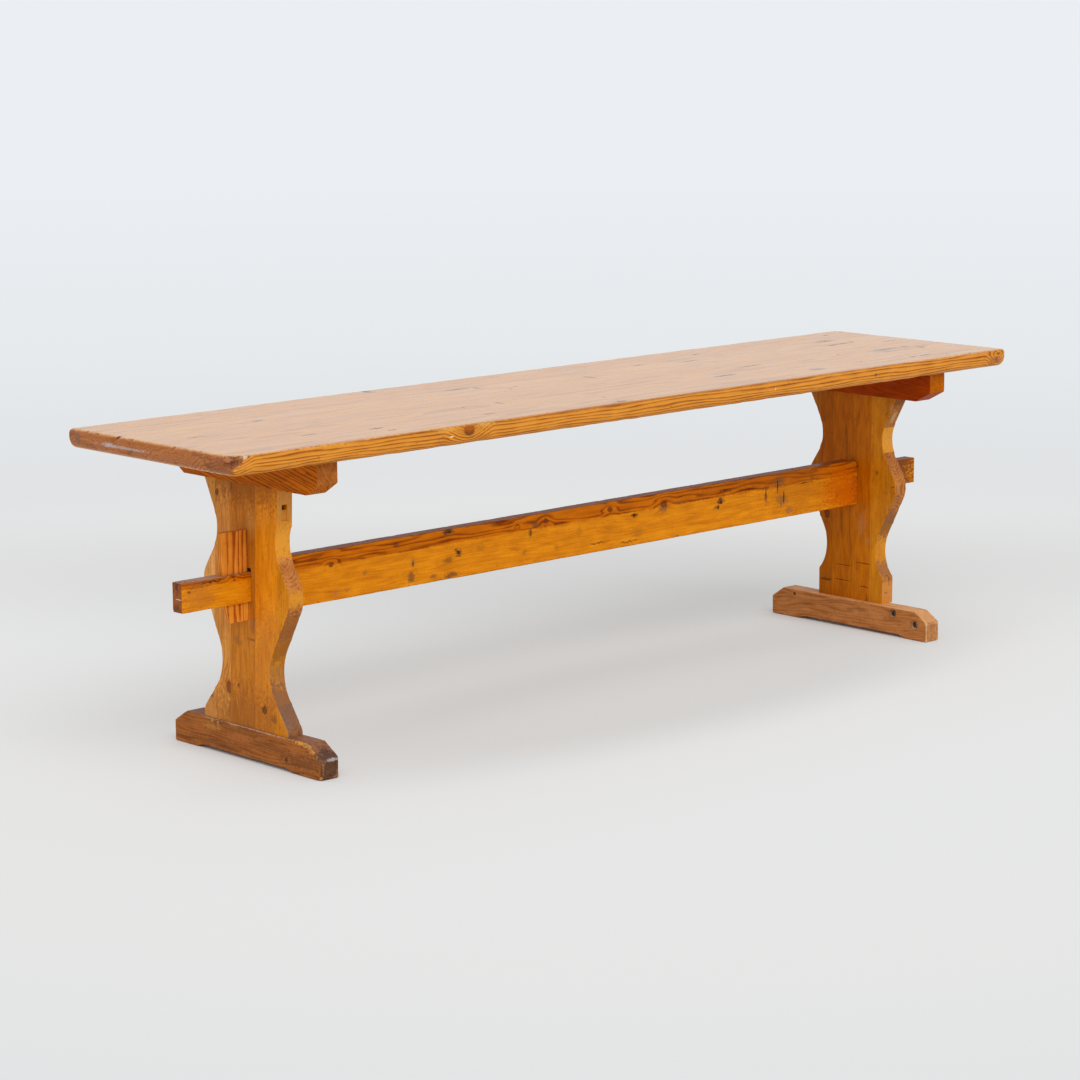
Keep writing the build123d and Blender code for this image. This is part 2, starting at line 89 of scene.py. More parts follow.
def noise(points, size, seed):
    """Smooth random field from -1 to 1. Random numbers sit on a cubic lattice whose cells are size
    millimetres wide, and a point mixes the eight around it by 3t^2 - 2t^3 along each axis."""
    table = np.random.default_rng(seed).uniform(-1, 1, 8192)
    strides = np.array([1, 157, 3083])
    cell = np.floor(points / size).astype(int)
    share = points / size - cell
    share = share * share * (3 - 2 * share)
    total = np.zeros(points.shape[:-1])
    for corner in itertools.product((0, 1), repeat=3):
        weight = np.where(np.array(corner, bool), share, 1 - share).prod(-1)
        total += weight * table[((cell + corner) * strides).sum(-1) % len(table)]
    return total


def stations(start, end, step, breaks=(), arrises=()):
    """Places along a piece: even steps, a close pair at each break, and for each radius in arrises
    the quarter circle of a rounded end, as r - r cos t, at both ends."""
    places = [np.linspace(start, end, int(abs(end - start) / step) + 2)]
    places += [np.array([place - 0.02, place + 0.02]) for place in breaks]
    for radius in arrises:
        turn = radius * (1 - np.cos(np.linspace(0, math.pi / 2, 6)))
        places += [start + turn, end - turn]
    return np.unique(np.clip(np.concatenate(places), start, end).round(3))


def round_over(distance, radius):
    """How far a face lies back at a distance from the end of its piece: a quarter circle."""
    near = np.clip(radius - distance, 0, radius)
    return radius - np.sqrt(radius**2 - near**2)


def grid_faces(numbers):
    """Quads between neighbouring rows and columns of a grid of vertex numbers."""
    corners = (numbers[:-1, :-1], numbers[:-1, 1:], numbers[1:, 1:], numbers[1:, :-1])
    return np.stack(corners, -1).reshape(-1, 4)


def timber(name, axes, along, a_limits, b_limits, arrises, ends=(0.0,) * 4, wear=(0.0, 3.0), seed=1,
           step=6.0, chips=()):
    """A closed bar of wood. At each place along it the section is a rectangle between two limits on
    each cross axis, with a quarter circle at each corner; both ends are grids spread between the four
    sides of the last section (a Coons patch). The four arrises are the radii of the low and high
    faces of the first and second cross axis, 0 where a face is glued, and a corner takes the smaller
    of its two; ends are the radii by which the four faces round over at both ends. Wear pulls points
    near an arris inwards by (depth, reach) times a random field. A chip is (centre, radius, push): it
    pushes the points inside a ragged ball. The attributes worn and chipped run from 0 to 1."""
    order = ["XYZ".index(letter) for letter in axes]
    count = len(along)
    faces = np.array([np.broadcast_to(value, count) for value in (*a_limits, *b_limits)], float)
    radii = np.array([np.broadcast_to(value, count) for value in arrises], float)
    signs = np.array([1, -1, 1, -1])
    bare_faces = radii > 0
    for distance in (along - along[0], along[-1] - along):
        faces += signs[:, None] * np.array([round_over(distance, radius) for radius in ends])
    room = 0.49 * np.minimum(faces[1] - faces[0], faces[3] - faces[2])
    middle = np.zeros((count, 3))
    middle[:, order[0]] = along
    middle[:, order[1]] = (faces[0] + faces[1]) / 2
    middle[:, order[2]] = (faces[2] + faces[3]) / 2
    radii = radii * (1.0 + ARRIS_SWING * noise(middle, ARRIS_LENGTH, seed))
    radii = np.minimum(radii, np.maximum(room, 0))

    # Four sides, each from the middle of one corner's arc to the middle of the next.
    corner_faces = [(0, 2), (1, 2), (1, 3), (0, 3)]
    half_arc = np.linspace(0, math.pi / 4, 4)
    sides = []
    for number in range(4):
        arcs = []
        for corner, start in ((number, 1.25 * math.pi), ((number + 1) % 4, 1.5 * math.pi)):
            a_face, b_face = corner_faces[corner]
            radius = np.minimum(radii[a_face], radii[b_face])[:, None]
            angle = start + number * math.pi / 2 + half_arc
            a = faces[a_face][:, None] + radius * (signs[a_face] + np.cos(angle))
            b = faces[b_face][:, None] + radius * (signs[b_face] + np.sin(angle))
            arcs.append(np.stack([a, b], -1))
        span = (faces[1] - faces[0]).max() if number % 2 == 0 else (faces[3] - faces[2]).max()
        share = np.linspace(0, 1, int(span / step) + 2)[1:-1, None]
        flat = arcs[0][:, -1:] * (1 - share) + arcs[1][:, :1] * share
        sides.append(np.concatenate([arcs[0], flat, arcs[1]], 1))
    loop = np.concatenate([side[:, :-1] for side in sides], 1)
    body = np.concatenate([np.broadcast_to(along[:, None, None], (*loop.shape[:2], 1)), loop], -1)
    points = [body.reshape(-1, 3)]
    places = [np.repeat(np.arange(count), loop.shape[1])]
    numbers = np.arange(body.shape[0] * body.shape[1]).reshape(body.shape[:2])
    quads = [grid_faces(np.concatenate([numbers, numbers[:, :1]], 1))]
    for place in (0, count - 1):
        low, right, high, left = (side[place] for side in sides)
        high, left = high[::-1], left[::-1]
        u = np.linspace(0, 1, len(low))[None, :, None]
        v = np.linspace(0, 1, len(right))[:, None, None]
        patch = (1 - v) * low + v * high + (1 - u) * left[:, None] + u * right[:, None]
        patch = patch - (1 - v) * ((1 - u) * low[0] + u * low[-1]) - v * ((1 - u) * high[0] + u * high[-1])
        first = sum(len(group) for group in points)
        numbers = first + np.arange(patch.shape[0] * patch.shape[1]).reshape(patch.shape[:2])
        quads.append(grid_faces(numbers))
        patch = patch.reshape(-1, 2)
        points.append(np.column_stack([np.full(len(patch), along[place]), patch]))
        places.append(np.full(len(patch), place))
    points, places = np.concatenate(points), np.concatenate(places)

    # Wear: how near each point lies to the end faces and to the four side faces, from 0 to 1.
    depth, reach = wear
    gaps = [points[:, 0] - along[0], along[-1] - points[:, 0]]
    gaps += [np.abs(points[:, 1 + face // 2] - faces[face][places]) for face in range(4)]
    near = np.exp(-np.array(gaps) / reach)
    near[:2] *= max(ends) > 0
    near[2:] *= bare_faces[:, places]
    pull = np.stack([near[0] - near[1], near[2] - near[3], near[4] - near[5]], -1)
    size = np.abs(pull)
    edge = np.clip(size[:, 0] * size[:, 1] + size[:, 1] * size[:, 2] + size[:, 2] * size[:, 0], 0, 1)
    world = np.empty_like(points)
    world[:, order] = points
    rough = noise(world, CHIP_LENGTHS[0], seed + 1) + 0.6 * noise(world, CHIP_LENGTHS[1], seed + 2)
    chipped = edge * np.clip(rough - 0.35, 0, 1)
    inward = np.empty_like(pull)
    inward[:, order] = pull
    wavy = WAVE_HEIGHT * (1 + noise(world, WAVE_LENGTH, 5)) * min(depth, 1.0)
    shift = inward * (depth * chipped + wavy)[:, None]
    for centre, radius, push in chips:
        apart = np.linalg.norm(world - centre, axis=1) / radius
        bite = np.clip(1.15 - apart + 0.3 * noise(world, radius / 2, seed + 3), 0, 1)
        bite = bite * bite * (3 - 2 * bite)
        shift = shift + bite[:, None] * push
        chipped = np.maximum(chipped, bite)
    world = world + shift
    worn = np.clip(edge * (0.75 + 0.5 * noise(world, RUB_LENGTH, seed + 4)), 0, 1)

    mesh = bpy.data.meshes.new(name)
    mesh.from_pydata(world * MM, [], np.concatenate(quads))
    for attribute, values in (("worn", worn), ("chipped", chipped)):
        mesh.attributes.new(attribute, "FLOAT", "POINT").data.foreach_set("value", values.astype(np.float32))
    piece = stand(name, mesh)
    clean(piece)
    return piece


def stand(name, data):
    """Puts a mesh, a lamp or a camera into the scene as an object at the origin."""
    piece = bpy.data.objects.new(name, data)
    bpy.context.scene.collection.objects.link(piece)
    return piece


def clean(piece):
    """Welds the seams, turns the faces outwards, and shades smooth up to 38 degrees."""
    shape = bmesh.new()
    shape.from_mesh(piece.data)
    bmesh.ops.remove_doubles(shape, verts=shape.verts, dist=WELD_DISTANCE * MM)
    bmesh.ops.dissolve_degenerate(shape, edges=shape.edges, dist=SLIVER * MM)
    bmesh.ops.recalc_face_normals(shape, faces=shape.faces)
    shape.to_mesh(piece.data)
    shape.free()
    piece.data.shade_smooth()
    piece.data.set_sharp_from_angle(angle=SHARP_FROM)


def carve(piece, cutters):
    """Takes the cutters out of a piece with exact Booleans, and removes them."""
    for cutter in cutters:
        cut = piece.modifiers.new("cut", "BOOLEAN")
        cut.object = cutter
        cut.solver = "EXACT"
    graph = bpy.context.evaluated_depsgraph_get()
    mesh = bpy.data.meshes.new_from_object(piece.evaluated_get(graph))
    piece.modifiers.clear()
    piece.data = mesh
    for cutter in cutters:
        bpy.data.objects.remove(cutter)
    clean(piece)


def dress(piece, material, body, node):
    """Gives a piece its material and body, hides its CAD node, and lets wide faces rule its shading."""
    piece.data.materials.clear()
    piece.data.materials.append(material)
    shading = piece.modifiers.new("shading", "WEIGHTED_NORMAL")
    shading.keep_sharp = True
    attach(piece, body)
    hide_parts(node)


def linear(colour):
    """The linear RGBA of an sRGB hex colour: a part up to 0.04045 over 12.92, and above that the part
    plus 0.055, over 1.055, to the power 2.4."""
    parts = [int(colour[place:place + 2], 16) / 255 for place in (1, 3, 5)]
    return [part / 12.92 if part <= 0.04045 else ((part + 0.055) / 1.055) ** 2.4 for part in parts] + [1.0]


def blank_tree(owner):
    """The node tree of a material or of the world, emptied."""
    owner.use_nodes = True
    owner.node_tree.nodes.clear()
    return owner.node_tree


MODES = {"Math": "operation", "VectorMath": "operation", "Mix": "data_type",
         "MapRange": "interpolation_type"}


def add(tree, kind, inputs, out=None, stops=None, **settings):
    """Adds a node with its settings, inputs and colour stops, and returns the output named, or else the
    first in use. Its mode may follow its kind. An input is a value or the output that feeds it."""
    kind, _, mode = kind.partition(" ")
    made = tree.nodes.new("ShaderNode" + kind)
    if mode:
        setattr(made, MODES[kind], mode)
    for key, value in settings.items():
        setattr(made, key, value)
    for number, (place, colour) in enumerate(stops or []):
        elements = made.color_ramp.elements
        stop = elements[number] if number < 2 else elements.new(place)
        stop.position = place
        stop.color = colour
    for key, value in inputs.items():
        if isinstance(value, bpy.types.NodeSocket):
            tree.links.new(value, made.inputs[key])
        else:
            made.inputs[key].default_value = value
    if out:
        return made.outputs[out]
    return next((socket for socket in made.outputs if socket.enabled), made)


def apart_from(tree, points, centre, sizes, sway=None):
    """How far points lie from a centre, 1 on the ellipsoid with these three half sizes: the length of
    (points - centre) / sizes, with a field that sways it."""
    shrink = [1 / size for size in sizes]
    back = [-value / size for value, size in zip(centre, sizes)]
    if sway is not None:
        back = add(tree, "VectorMath ADD", {0: sway, 1: back})
    spoke = add(tree, "VectorMath MULTIPLY_ADD", {0: points, 1: shrink, 2: back})
    return add(tree, "VectorMath LENGTH", {0: spoke})


KNOT_STRETCH, KNOT_REACH = 1.35, 7.0  # of a knot's radius, along the fibre and through the board
FRAY, JAG = 5.0, 9.0  # how far the rims of knots and the lines of cracks stray
SMEAR = 2.4  # how far the rim of a stain strays, of its half sizes
SPECK_SPACING = 13.0


# Lacquered pine, planed: pale early wood and darker late wood in yearly rings about the pith, fine
# streaks along the fibre, knots that the rings flow around, a satin film, and bare wood at the arrises.
def lacquered_pine(name, fibre, pith, ring, early, late, contrast, wander=16.0, slope=(0.0, 0.0, 0.0),
                   knots=(), blotches=(), cracks=(), faces=(), end=("#A86C44", "#8A5636"), band=None,
                   roughness=0.4, gloss=0.06, polish=None, relief=1.0, bare=("#D9A566", 0.4),
                   dirt="#5A3D22", dirty=0.3, cracked=0.3, specks=0.5, mottle=1.0):
    """fibre is the number of the grain's axis, pith a point on the heart line and ring the yearly
    growth. The heart line moves by slope for each millimetre along the fibre. A knot is (centre,
    radius, the axis that it runs along or None, swelling of the rings around it), a stain (centre, sizes,
    colour, strength, and the direction its face must look in, or None) and a crack (centre, sizes). A
    face is (direction, early colour, late colour, strength) of the wood on faces that look that way.
    The band is (level, soft edge, early, late) of the heartwood above a level. Polish is (direction,
    gloss) of the film on faces that have been rubbed bright. Mottle is how strong the patina is. The
    blotches are stains, and a few are painted shade under the bearers and in a slot."""
    material = bpy.data.materials.new(name)
    tree = blank_tree(material)
    along = [1.0 if axis == fibre else 0.0 for axis in range(3)]
    across = [1.0 - share for share in along]
    place = add(tree, "TexCoord", {}, out="Object")
    normal = place.node.outputs["Normal"]
    mm = add(tree, "VectorMath SCALE", {0: place, "Scale": 1 / MM})

    # Random fields, each as long along the fibre and as wide across it as given, in millimetres, and
    # moved by the pith, so that no two pieces are alike. Real fibres are far finer than the streak,
    # which is as coarse as it has to be to show.
    fields = {}
    for field, (long, wide, detail) in {
        "wander": (600.0, 70.0, 1.0),
        "tremble": (360.0, 24.0, 1.0),
        "streak": (150.0, 1.3, 2.0),
        "patina": (170.0, 42.0, 3.0),
        "grime": (24.0, 17.0, 5.0),
        "hair": (150.0, 18.0, 1.0),
    }.items():
        shrink = [1 / long if axis == fibre else 1 / wide for axis in range(3)]
        shift = [pith[1] * 0.37, pith[2] * 0.23, pith[0] * 0.11]
        spread = add(tree, "VectorMath MULTIPLY_ADD", {0: mm, 1: shrink, 2: shift})
        fields[field] = add(tree, "TexNoise", {"Vector": spread, "Detail": detail})
    vectors = {field: value.node.outputs["Color"] for field, value in fields.items()}

    # Rings: distance from the pith, bent by the wandering of the trunk and pushed out by knots.
    moved = mm
    for field, reach in (("wander", wander), ("tremble", 0.5 * ring)):
        spread = [reach * share for share in across]
        back = [-0.5 * reach * share for share in across]
        bent = add(tree, "VectorMath MULTIPLY_ADD", {0: vectors[field], 1: spread, 2: back})
        moved = add(tree, "VectorMath ADD", {0: moved, 1: bent})
    if any(slope):
        reach = add(tree, "VectorMath DOT_PRODUCT", {0: mm, 1: along})
        tilt = add(tree, "VectorMath SCALE", {0: list(slope), "Scale": reach})
        moved = add(tree, "VectorMath ADD", {0: moved, 1: tilt})
    heart = [-value * share for value, share in zip(pith, across)]
    spoke = add(tree, "VectorMath MULTIPLY_ADD", {0: moved, 1: across, 2: heart})
    distance = add(tree, "VectorMath LENGTH", {0: spoke})
    frayed, smear, jagged = (
        add(tree, "VectorMath MULTIPLY_ADD",
            {0: vectors["grime"], 1: spread, 2: [-0.5 * part for part in spread]})
        for spread in ([FRAY] * 3, [SMEAR] * 3, [JAG * share for share in across])
    )
    frayed, jagged = (add(tree, "VectorMath ADD", {0: mm, 1: stray}) for stray in (frayed, jagged))
    knot_mask = 0.0
    for centre, radius, through, swelling in knots:
        sizes = [radius] * 3
        sizes[fibre] = KNOT_STRETCH * radius
        if through is not None:
            sizes[through] = KNOT_REACH * radius
        apart = apart_from(tree, frayed, centre, sizes)
        swell = add(tree, "MapRange SMOOTHSTEP", {0: apart, 1: 5.0, 2: 0.5, 3: 0.0, 4: swelling * radius})
        distance = add(tree, "Math ADD", {0: distance, 1: swell})
        core = add(tree, "MapRange SMOOTHSTEP", {0: apart, 1: 1.4, 2: 0.3})
        knot_mask = add(tree, "Math MAXIMUM", {0: knot_mask, 1: core})
    years = add(tree, "Math MULTIPLY", {0: distance, 1: 1 / ring})
    spell = add(tree, "TexNoise", {"W": years, "Scale": 0.21, "Detail": 1.0}, noise_dimensions="1D")
    years = add(tree, "Math MULTIPLY_ADD", {0: spell, 1: 3.0, 2: years})
    season = add(tree, "Math FRACT", {0: years})
    ring_tones = ((0.0, 0.7), (0.10, 0.04), (0.42, 0.06), (0.66, 0.35), (0.82, 1.0), (1.0, 0.95))
    late_wood = add(tree, "ValToRGB", {0: season}, stops=[(at, [grey] * 3 + [1]) for at, grey in ring_tones])
    fade = add(tree, "MapRange",
               {0: fields["patina"], 1: 0.3, 2: 0.7, 3: 1.25 * contrast, 4: 0.6 * contrast})
    late_share = add(tree, "Math MULTIPLY", {0: late_wood, 1: fade}, use_clamp=True)

    # Colour: rings, heartwood band, end grain and sawn faces, then streaks, patina and knots.
    early_colour, late_colour = linear(early), linear(late)
    if band:
        level, soft, band_early, band_late = band
        height = add(tree, "SeparateXYZ", {0: frayed}, out="Z")
        share = add(tree, "MapRange SMOOTHSTEP", {0: height, 1: level - soft, 2: level + soft})
        early_colour, late_colour = [
            add(tree, "Mix RGBA", {0: share, 6: below, 7: linear(above)})
            for below, above in ((early_colour, band_early), (late_colour, band_late))
        ]
    colour = add(tree, "Mix RGBA", {0: late_share, 6: early_colour, 7: late_colour})
    ends = [(along, *end, 0.9), ([-share for share in along], *end, 0.9)]
    for direction, face_early, face_late, strength in [*faces, *ends]:
        facing = add(tree, "VectorMath DOT_PRODUCT", {0: normal, 1: direction})
        share = add(tree, "MapRange", {0: facing, 1: 0.5, 2: 0.8, 4: strength})
        tone = add(tree, "Mix RGBA", {0: late_share, 6: linear(face_early), 7: linear(face_late)})
        colour = add(tree, "Mix RGBA", {0: share, 6: colour, 7: tone})
    for field, strength, dark, light in (
        ("streak", 1.0, [0.92, 0.89, 0.86, 1], [1.05, 1.06, 1.07, 1]),
        ("patina", mottle, [0.85, 0.77, 0.67, 1], [1.09, 1.09, 1.07, 1]),
    ):
        shade = add(tree, "ValToRGB", {0: fields[field]}, stops=[(0.3, dark), (0.7, light)])
        colour = add(tree, "Mix RGBA", {0: strength, 6: colour, 7: shade}, blend_type="MULTIPLY")
    knot_colour = add(tree, "ValToRGB", {0: knot_mask}, stops=[
        (0.0, linear("#7A3A10")), (0.45, linear("#4A200A")), (1.0, linear("#7C3C18")),
    ])
    knot_share = add(tree, "MapRange", {0: knot_mask, 1: 0.05, 2: 0.6, 4: 0.85})
    colour = add(tree, "Mix RGBA", {0: knot_share, 6: colour, 7: knot_colour})

    # Age: rubbed arrises, chips with a dark rim, stains and painted shade, grime, specks and cracks along
    # the grain.
    worn = add(tree, "Attribute", {}, out="Fac", attribute_name="worn")
    worn = add(tree, "Math MULTIPLY_ADD", {0: fields["grime"], 1: 0.9, 2: worn})
    bare_share = add(tree, "MapRange", {0: worn, 1: 1.0, 2: 1.3, 4: bare[1]})
    colour = add(tree, "Mix RGBA", {0: bare_share, 6: colour, 7: linear(bare[0])})
    chipped = add(tree, "Attribute", {}, out="Fac", attribute_name="chipped")
    ragged = add(tree, "Math SUBTRACT", {0: fields["grime"], 1: 0.5})
    ragged = add(tree, "Math MULTIPLY_ADD", {0: ragged, 1: 0.9, 2: chipped})
    ragged = add(tree, "Math MULTIPLY_ADD", {0: knot_mask, 1: -0.5, 2: ragged})
    rim = add(tree, "MapRange", {0: ragged, 1: 0.16, 2: 0.34, 4: 0.45})
    colour = add(tree, "Mix RGBA", {0: rim, 6: colour, 7: linear(dirt)})
    raw = add(tree, "MapRange", {0: ragged, 1: 0.40, 2: 0.58, 4: 0.9})
    torn = add(tree, "ValToRGB", {0: fields["streak"]}, stops=[(0.38, linear(dirt)), (0.5, linear(bare[0]))])
    colour = add(tree, "Mix RGBA", {0: raw, 6: colour, 7: torn})
    # Blotches: stains, and a few marks of painted shade under the bearers and in a slot.
    for centre, sizes, blotch_colour, strength, direction in blotches:
        apart = apart_from(tree, mm, centre, sizes, smear)
        share = add(tree, "MapRange SMOOTHSTEP", {0: apart, 1: 1.25, 2: 0.45, 4: strength})
        if direction:
            facing = add(tree, "VectorMath DOT_PRODUCT", {0: normal, 1: direction})
            facing = add(tree, "MapRange", {0: facing, 1: 0.5, 2: 0.75})
            share = add(tree, "Math MULTIPLY", {0: share, 1: facing})
        colour = add(tree, "Mix RGBA", {0: share, 6: colour, 7: linear(blotch_colour)})
    grime_share = add(tree, "MapRange", {0: fields["grime"], 1: 0.58, 2: 0.74, 4: dirty})
    colour = add(tree, "Mix RGBA", {0: grime_share, 6: colour, 7: linear(dirt)})
    dots = add(tree, "TexVoronoi", {"Vector": mm, "Scale": 1 / SPECK_SPACING})
    dot = add(tree, "MapRange", {0: dots, 1: 0.085, 2: 0.045})
    chosen = add(tree, "MapRange", {0: dots.node.outputs["Color"], 1: 0.5, 2: 0.6, 4: specks})
    dot = add(tree, "Math MULTIPLY", {0: dot, 1: chosen})
    offset = add(tree, "Math SUBTRACT", {0: fields["hair"], 1: 0.5})
    offset = add(tree, "Math ABSOLUTE", {0: offset})
    line = add(tree, "MapRange", {0: offset, 1: 0.008, 2: 0.003})
    broken = add(tree, "MapRange", {0: fields["grime"], 1: 0.56, 2: 0.62, 4: cracked})
    crack = add(tree, "Math MULTIPLY", {0: line, 1: broken})
    for centre, sizes in cracks:
        apart = apart_from(tree, jagged, centre, sizes)
        share = add(tree, "MapRange", {0: apart, 1: 1.1, 2: 0.6, 4: 0.85})
        crack = add(tree, "Math MAXIMUM", {0: crack, 1: share})
    marks = add(tree, "Math MAXIMUM", {0: crack, 1: dot})
    colour = add(tree, "Mix RGBA", {0: marks, 6: colour, 7: linear("#3C2410")})

    # Surface: late wood stands proud after years of rubbing, and dirt and bare wood are duller.
    dull = add(tree, "MapRange",
               {0: fields["patina"], 1: 0.3, 2: 0.7, 3: roughness - 0.04, 4: roughness + 0.06})
    dull = add(tree, "Math MULTIPLY_ADD", {0: bare_share, 1: 0.25, 2: dull})
    height = 0.0
    layers = ((late_share, 0.05), (fields["streak"], 0.10), (fields["grime"], 0.30), (marks, -0.4))
    for layer, rise in layers:
        height = add(tree, "Math MULTIPLY_ADD", {0: layer, 1: rise, 2: height})
    bumpy = add(tree, "Bump", {"Height": height, "Distance": relief * MM})
    film = gloss
    if polish:
        direction, polished = polish
        facing = add(tree, "VectorMath DOT_PRODUCT", {0: normal, 1: direction})
        film = add(tree, "MapRange", {0: facing, 1: 0.5, 2: 0.8, 3: gloss, 4: polished})
    film_lost = add(tree, "Math MAXIMUM", {0: marks, 1: raw})
    film = add(tree, "MapRange", {0: film_lost, 3: film, 4: 0.02})
    shader = add(tree, "BsdfPrincipled", {
        "Base Color": colour, "Roughness": dull, "Normal": bumpy, "Specular IOR Level": film,
    })
    add(tree, "OutputMaterial", {"Surface": shader})
    return material


def lean_level(side):
    """The level that an upright leans about, halfway between the top of its foot and its bearer."""
    return (limits(f"{side}_foot")[1][2] + limits(f"{side}_bearer")[0][2]) / 2


def sawn_edge(side, end, levels):
    """Y of one sawn edge of an upright at each level, end -1 in front and 1 behind. Arcs bulge
    outwards and inwards by turns. Each arc runs from the direction square to the straight flank
    below it to the direction square to the flank above it, and the whole edge leans about its middle."""
    levels_up, widths, radii = (np.array(row) for row in (OUTLINE_LEVELS, OUTLINE_WIDTHS, OUTLINE_RADII))
    bulges = np.array(OUTLINE_BULGES)
    centres = np.stack([widths - bulges * radii, levels_up], -1)
    arcs = [np.array([[widths[0], 0.0]])]
    came = 0.0
    for number in range(len(levels_up)):
        went = 0.0
        if number < len(levels_up) - 1:
            step = centres[number + 1] - centres[number]
            share = (radii[number] + radii[number + 1]) / np.linalg.norm(step)
            along = step / np.linalg.norm(step)
            out = np.array([along[1], -along[0]]) * bulges[number] * math.sqrt(1 - share**2)
            normal = along * share + out
            went = math.atan2(normal[1], normal[0] * bulges[number])
        turn = np.linspace(came, went, 13)
        spokes = np.stack([np.cos(turn) * bulges[number], np.sin(turn)], -1)
        arcs.append(centres[number] + radii[number] * spokes)
        came = -went
    arcs.append(arcs[-1][-1:] + [HEAD_FLANK])
    edge = np.concatenate(arcs)
    middle = lean_level(side)
    lean = LEAN[side]
    y = UPRIGHT_OFFSET + end * edge[:, 0] * math.cos(lean) - (edge[:, 1] - middle) * math.sin(lean)
    z = middle + end * edge[:, 0] * math.sin(lean) + (edge[:, 1] - middle) * math.cos(lean)
    return np.interp(levels, z, y)


def glue_line(side, distance, levels):
    """Y of a glue line at its distance from the middle of an upright: the distance over the cosine of
    the lean, less the tangent of the lean for each millimetre above the level that it leans about."""
    up = levels - lean_level(side)
    return UPRIGHT_OFFSET + distance / math.cos(LEAN[side]) - up * math.tan(LEAN[side])


TO_FRONT, TO_BACK, TO_LEFT, UP = (0, -1, 0), (0, 1, 0), (-1, 0, 0), (0, 0, 1)
STAVE_TONES = {  # early and late wood, pith, ring width, contrast
    "left_1": ("#F89C1C", "#D87C0A", (-640, -150, 0), 3.1, 0.5),
    "left_2": ("#D08022", "#AE6412", (-700, 20, 0), 2.6, 0.5),
    "left_3": ("#D38426", "#B16614", (-560, 90, 0), 3.4, 0.55),
    "left_4": ("#E89E4A", "#BE7828", (-575, 140, 0), 4.5, 0.7),
    # the right upright's inner face lies deep under the seat: its staves are set darker partly for their
    # wood and partly as painted shade
    "right_1": ("#D88C18", "#BC7208", (560, -150, 0), 3, 0.4),
    "right_2": ("#CC7604", "#A45A00", (660, 40, 0), 2.8, 0.5),
    "right_3": ("#C06C00", "#985000", (540, 100, 0), 3.3, 0.55),
    "right_4": ("#B46400", "#8A4600", (560, 130, 0), 3, 0.55),
}
STAVE_KNOTS = {
    "left_3": [((-599, 21.5, 98), 1.8, 0, 1.5)],
    "left_4": [((-599, 41, 92), 6.5, 0, 1.5), ((-599, 57.5, 352), 3.4, 0, 1.5)],
    "right_4": [((595, 52, 174), 5.5, 0, 1.5)],
    "right_1": [((620, -50, 250), 4, 0, 1.5)],
}
# soil at the foot of the left upright, and painted shade under the bearer on its head
LEFT_SOIL_AND_PAINTED_SHADE = [((-599, 0, 46), (9, 120, 56), "#925422", 0.55, TO_LEFT),
               ((-599, 0, 374), (9, 120, 38), "#8A4A00", 0.6, TO_LEFT)]  # soiled foot, shaded head
# stains on the staves, with a few marks of painted shade among them
STAVE_STAINS_AND_SHADE = {
    "left_1": [((-599, -45, 120), (9, 90, 92), "#B8702C", 0.5, TO_LEFT),
               *LEFT_SOIL_AND_PAINTED_SHADE,
               ((-599, -32.5, 74), (9, 7, 6), "#4E2C18", 0.8, None),
               ((-599, -55, 64), (9, 13, 5), "#6A4424", 0.6, None),
               ((-587, -67.5, 350), (30, 9, 30), "#D49448", 0.8, TO_FRONT),
               # painted shadow in the deep upper part of the tongue slot
               ((-587, -58, 344.5), (5, 8, 6), "#140C06", 0.95, None),
               ((-587, -52, 156), (90, 90, 24), "#8C5420", 0.7, TO_FRONT),
               ((-587, -52, 88), (90, 90, 31), "#7E5640", 0.85, TO_FRONT),
               ((-587, -52, 123), (90, 90, 13), "#84603C", 0.5, TO_FRONT),
               ((-587, -60, 298), (90, 90, 26), "#F2A63A", 0.8, TO_FRONT)],
    "left_2": [*LEFT_SOIL_AND_PAINTED_SHADE,
               ((-599, -11, 164), (9, 13, 2.2), "#6B4420", 0.6, None),
               ((-599, -14, 185), (9, 9, 14), "#9A6030", 0.5, None),
               ((-599, -12, 315), (9, 7, 22), "#D0A058", 0.35, None)],
    "left_3": [*LEFT_SOIL_AND_PAINTED_SHADE,
               ((-599, 28.5, 364), (9, 3.5, 11), "#6B3A14", 0.7, None),
               ((-599, 21, 158), (9, 9, 9), "#8A5A2C", 0.5, None)],
    "left_4": [*LEFT_SOIL_AND_PAINTED_SHADE,
               ((-599, 40, 60), (9, 6, 14), "#8E5420", 0.5, None)],
    "right_1": [((607, -64, 62), (90, 90, 20), "#CC8642", 0.9, TO_FRONT),
                ((607, -56, 95), (90, 90, 18), "#94603C", 0.85, TO_FRONT),
                ((607, -56, 166), (90, 90, 24), "#8A5628", 0.8, TO_FRONT),
                ((607, -60, 300), (90, 90, 28), "#F0A840", 0.7, TO_FRONT)],
    "right_2": [((595, -20, 165), (9, 10, 20), "#BC7C44", 0.5, None),
                ((595, -32, 140), (9, 5, 8), "#BC7C44", 0.5, None)],
    "right_3": [((595, 14, 304), (9, 2.5, 17), "#5E3608", 0.5, None)],
    "right_4": [((595, 50, 69), (9, 16, 3), "#5A3412", 0.5, None)],
}
STAVE_CRACKS = {
    "right_1": [((607, -65, 88), (3, 9, 1)), ((611, -65, 78), (0.8, 9, 9)),
                ((604, -65, 61), (5, 9, 0.8))],
    "right_2": [((595, -25, 104), (3, 20, 0.8)), ((595, -27, 67), (3, 11, 0.8)),
                ((595, -31, 50), (3, 1, 8))],
    "right_3": [((595, 16, 96), (3, 19, 0.7)), ((595, 20, 72), (3, 18, 0.7))],
    "right_4": [((595, 54, 68), (3, 12, 0.8))],
}
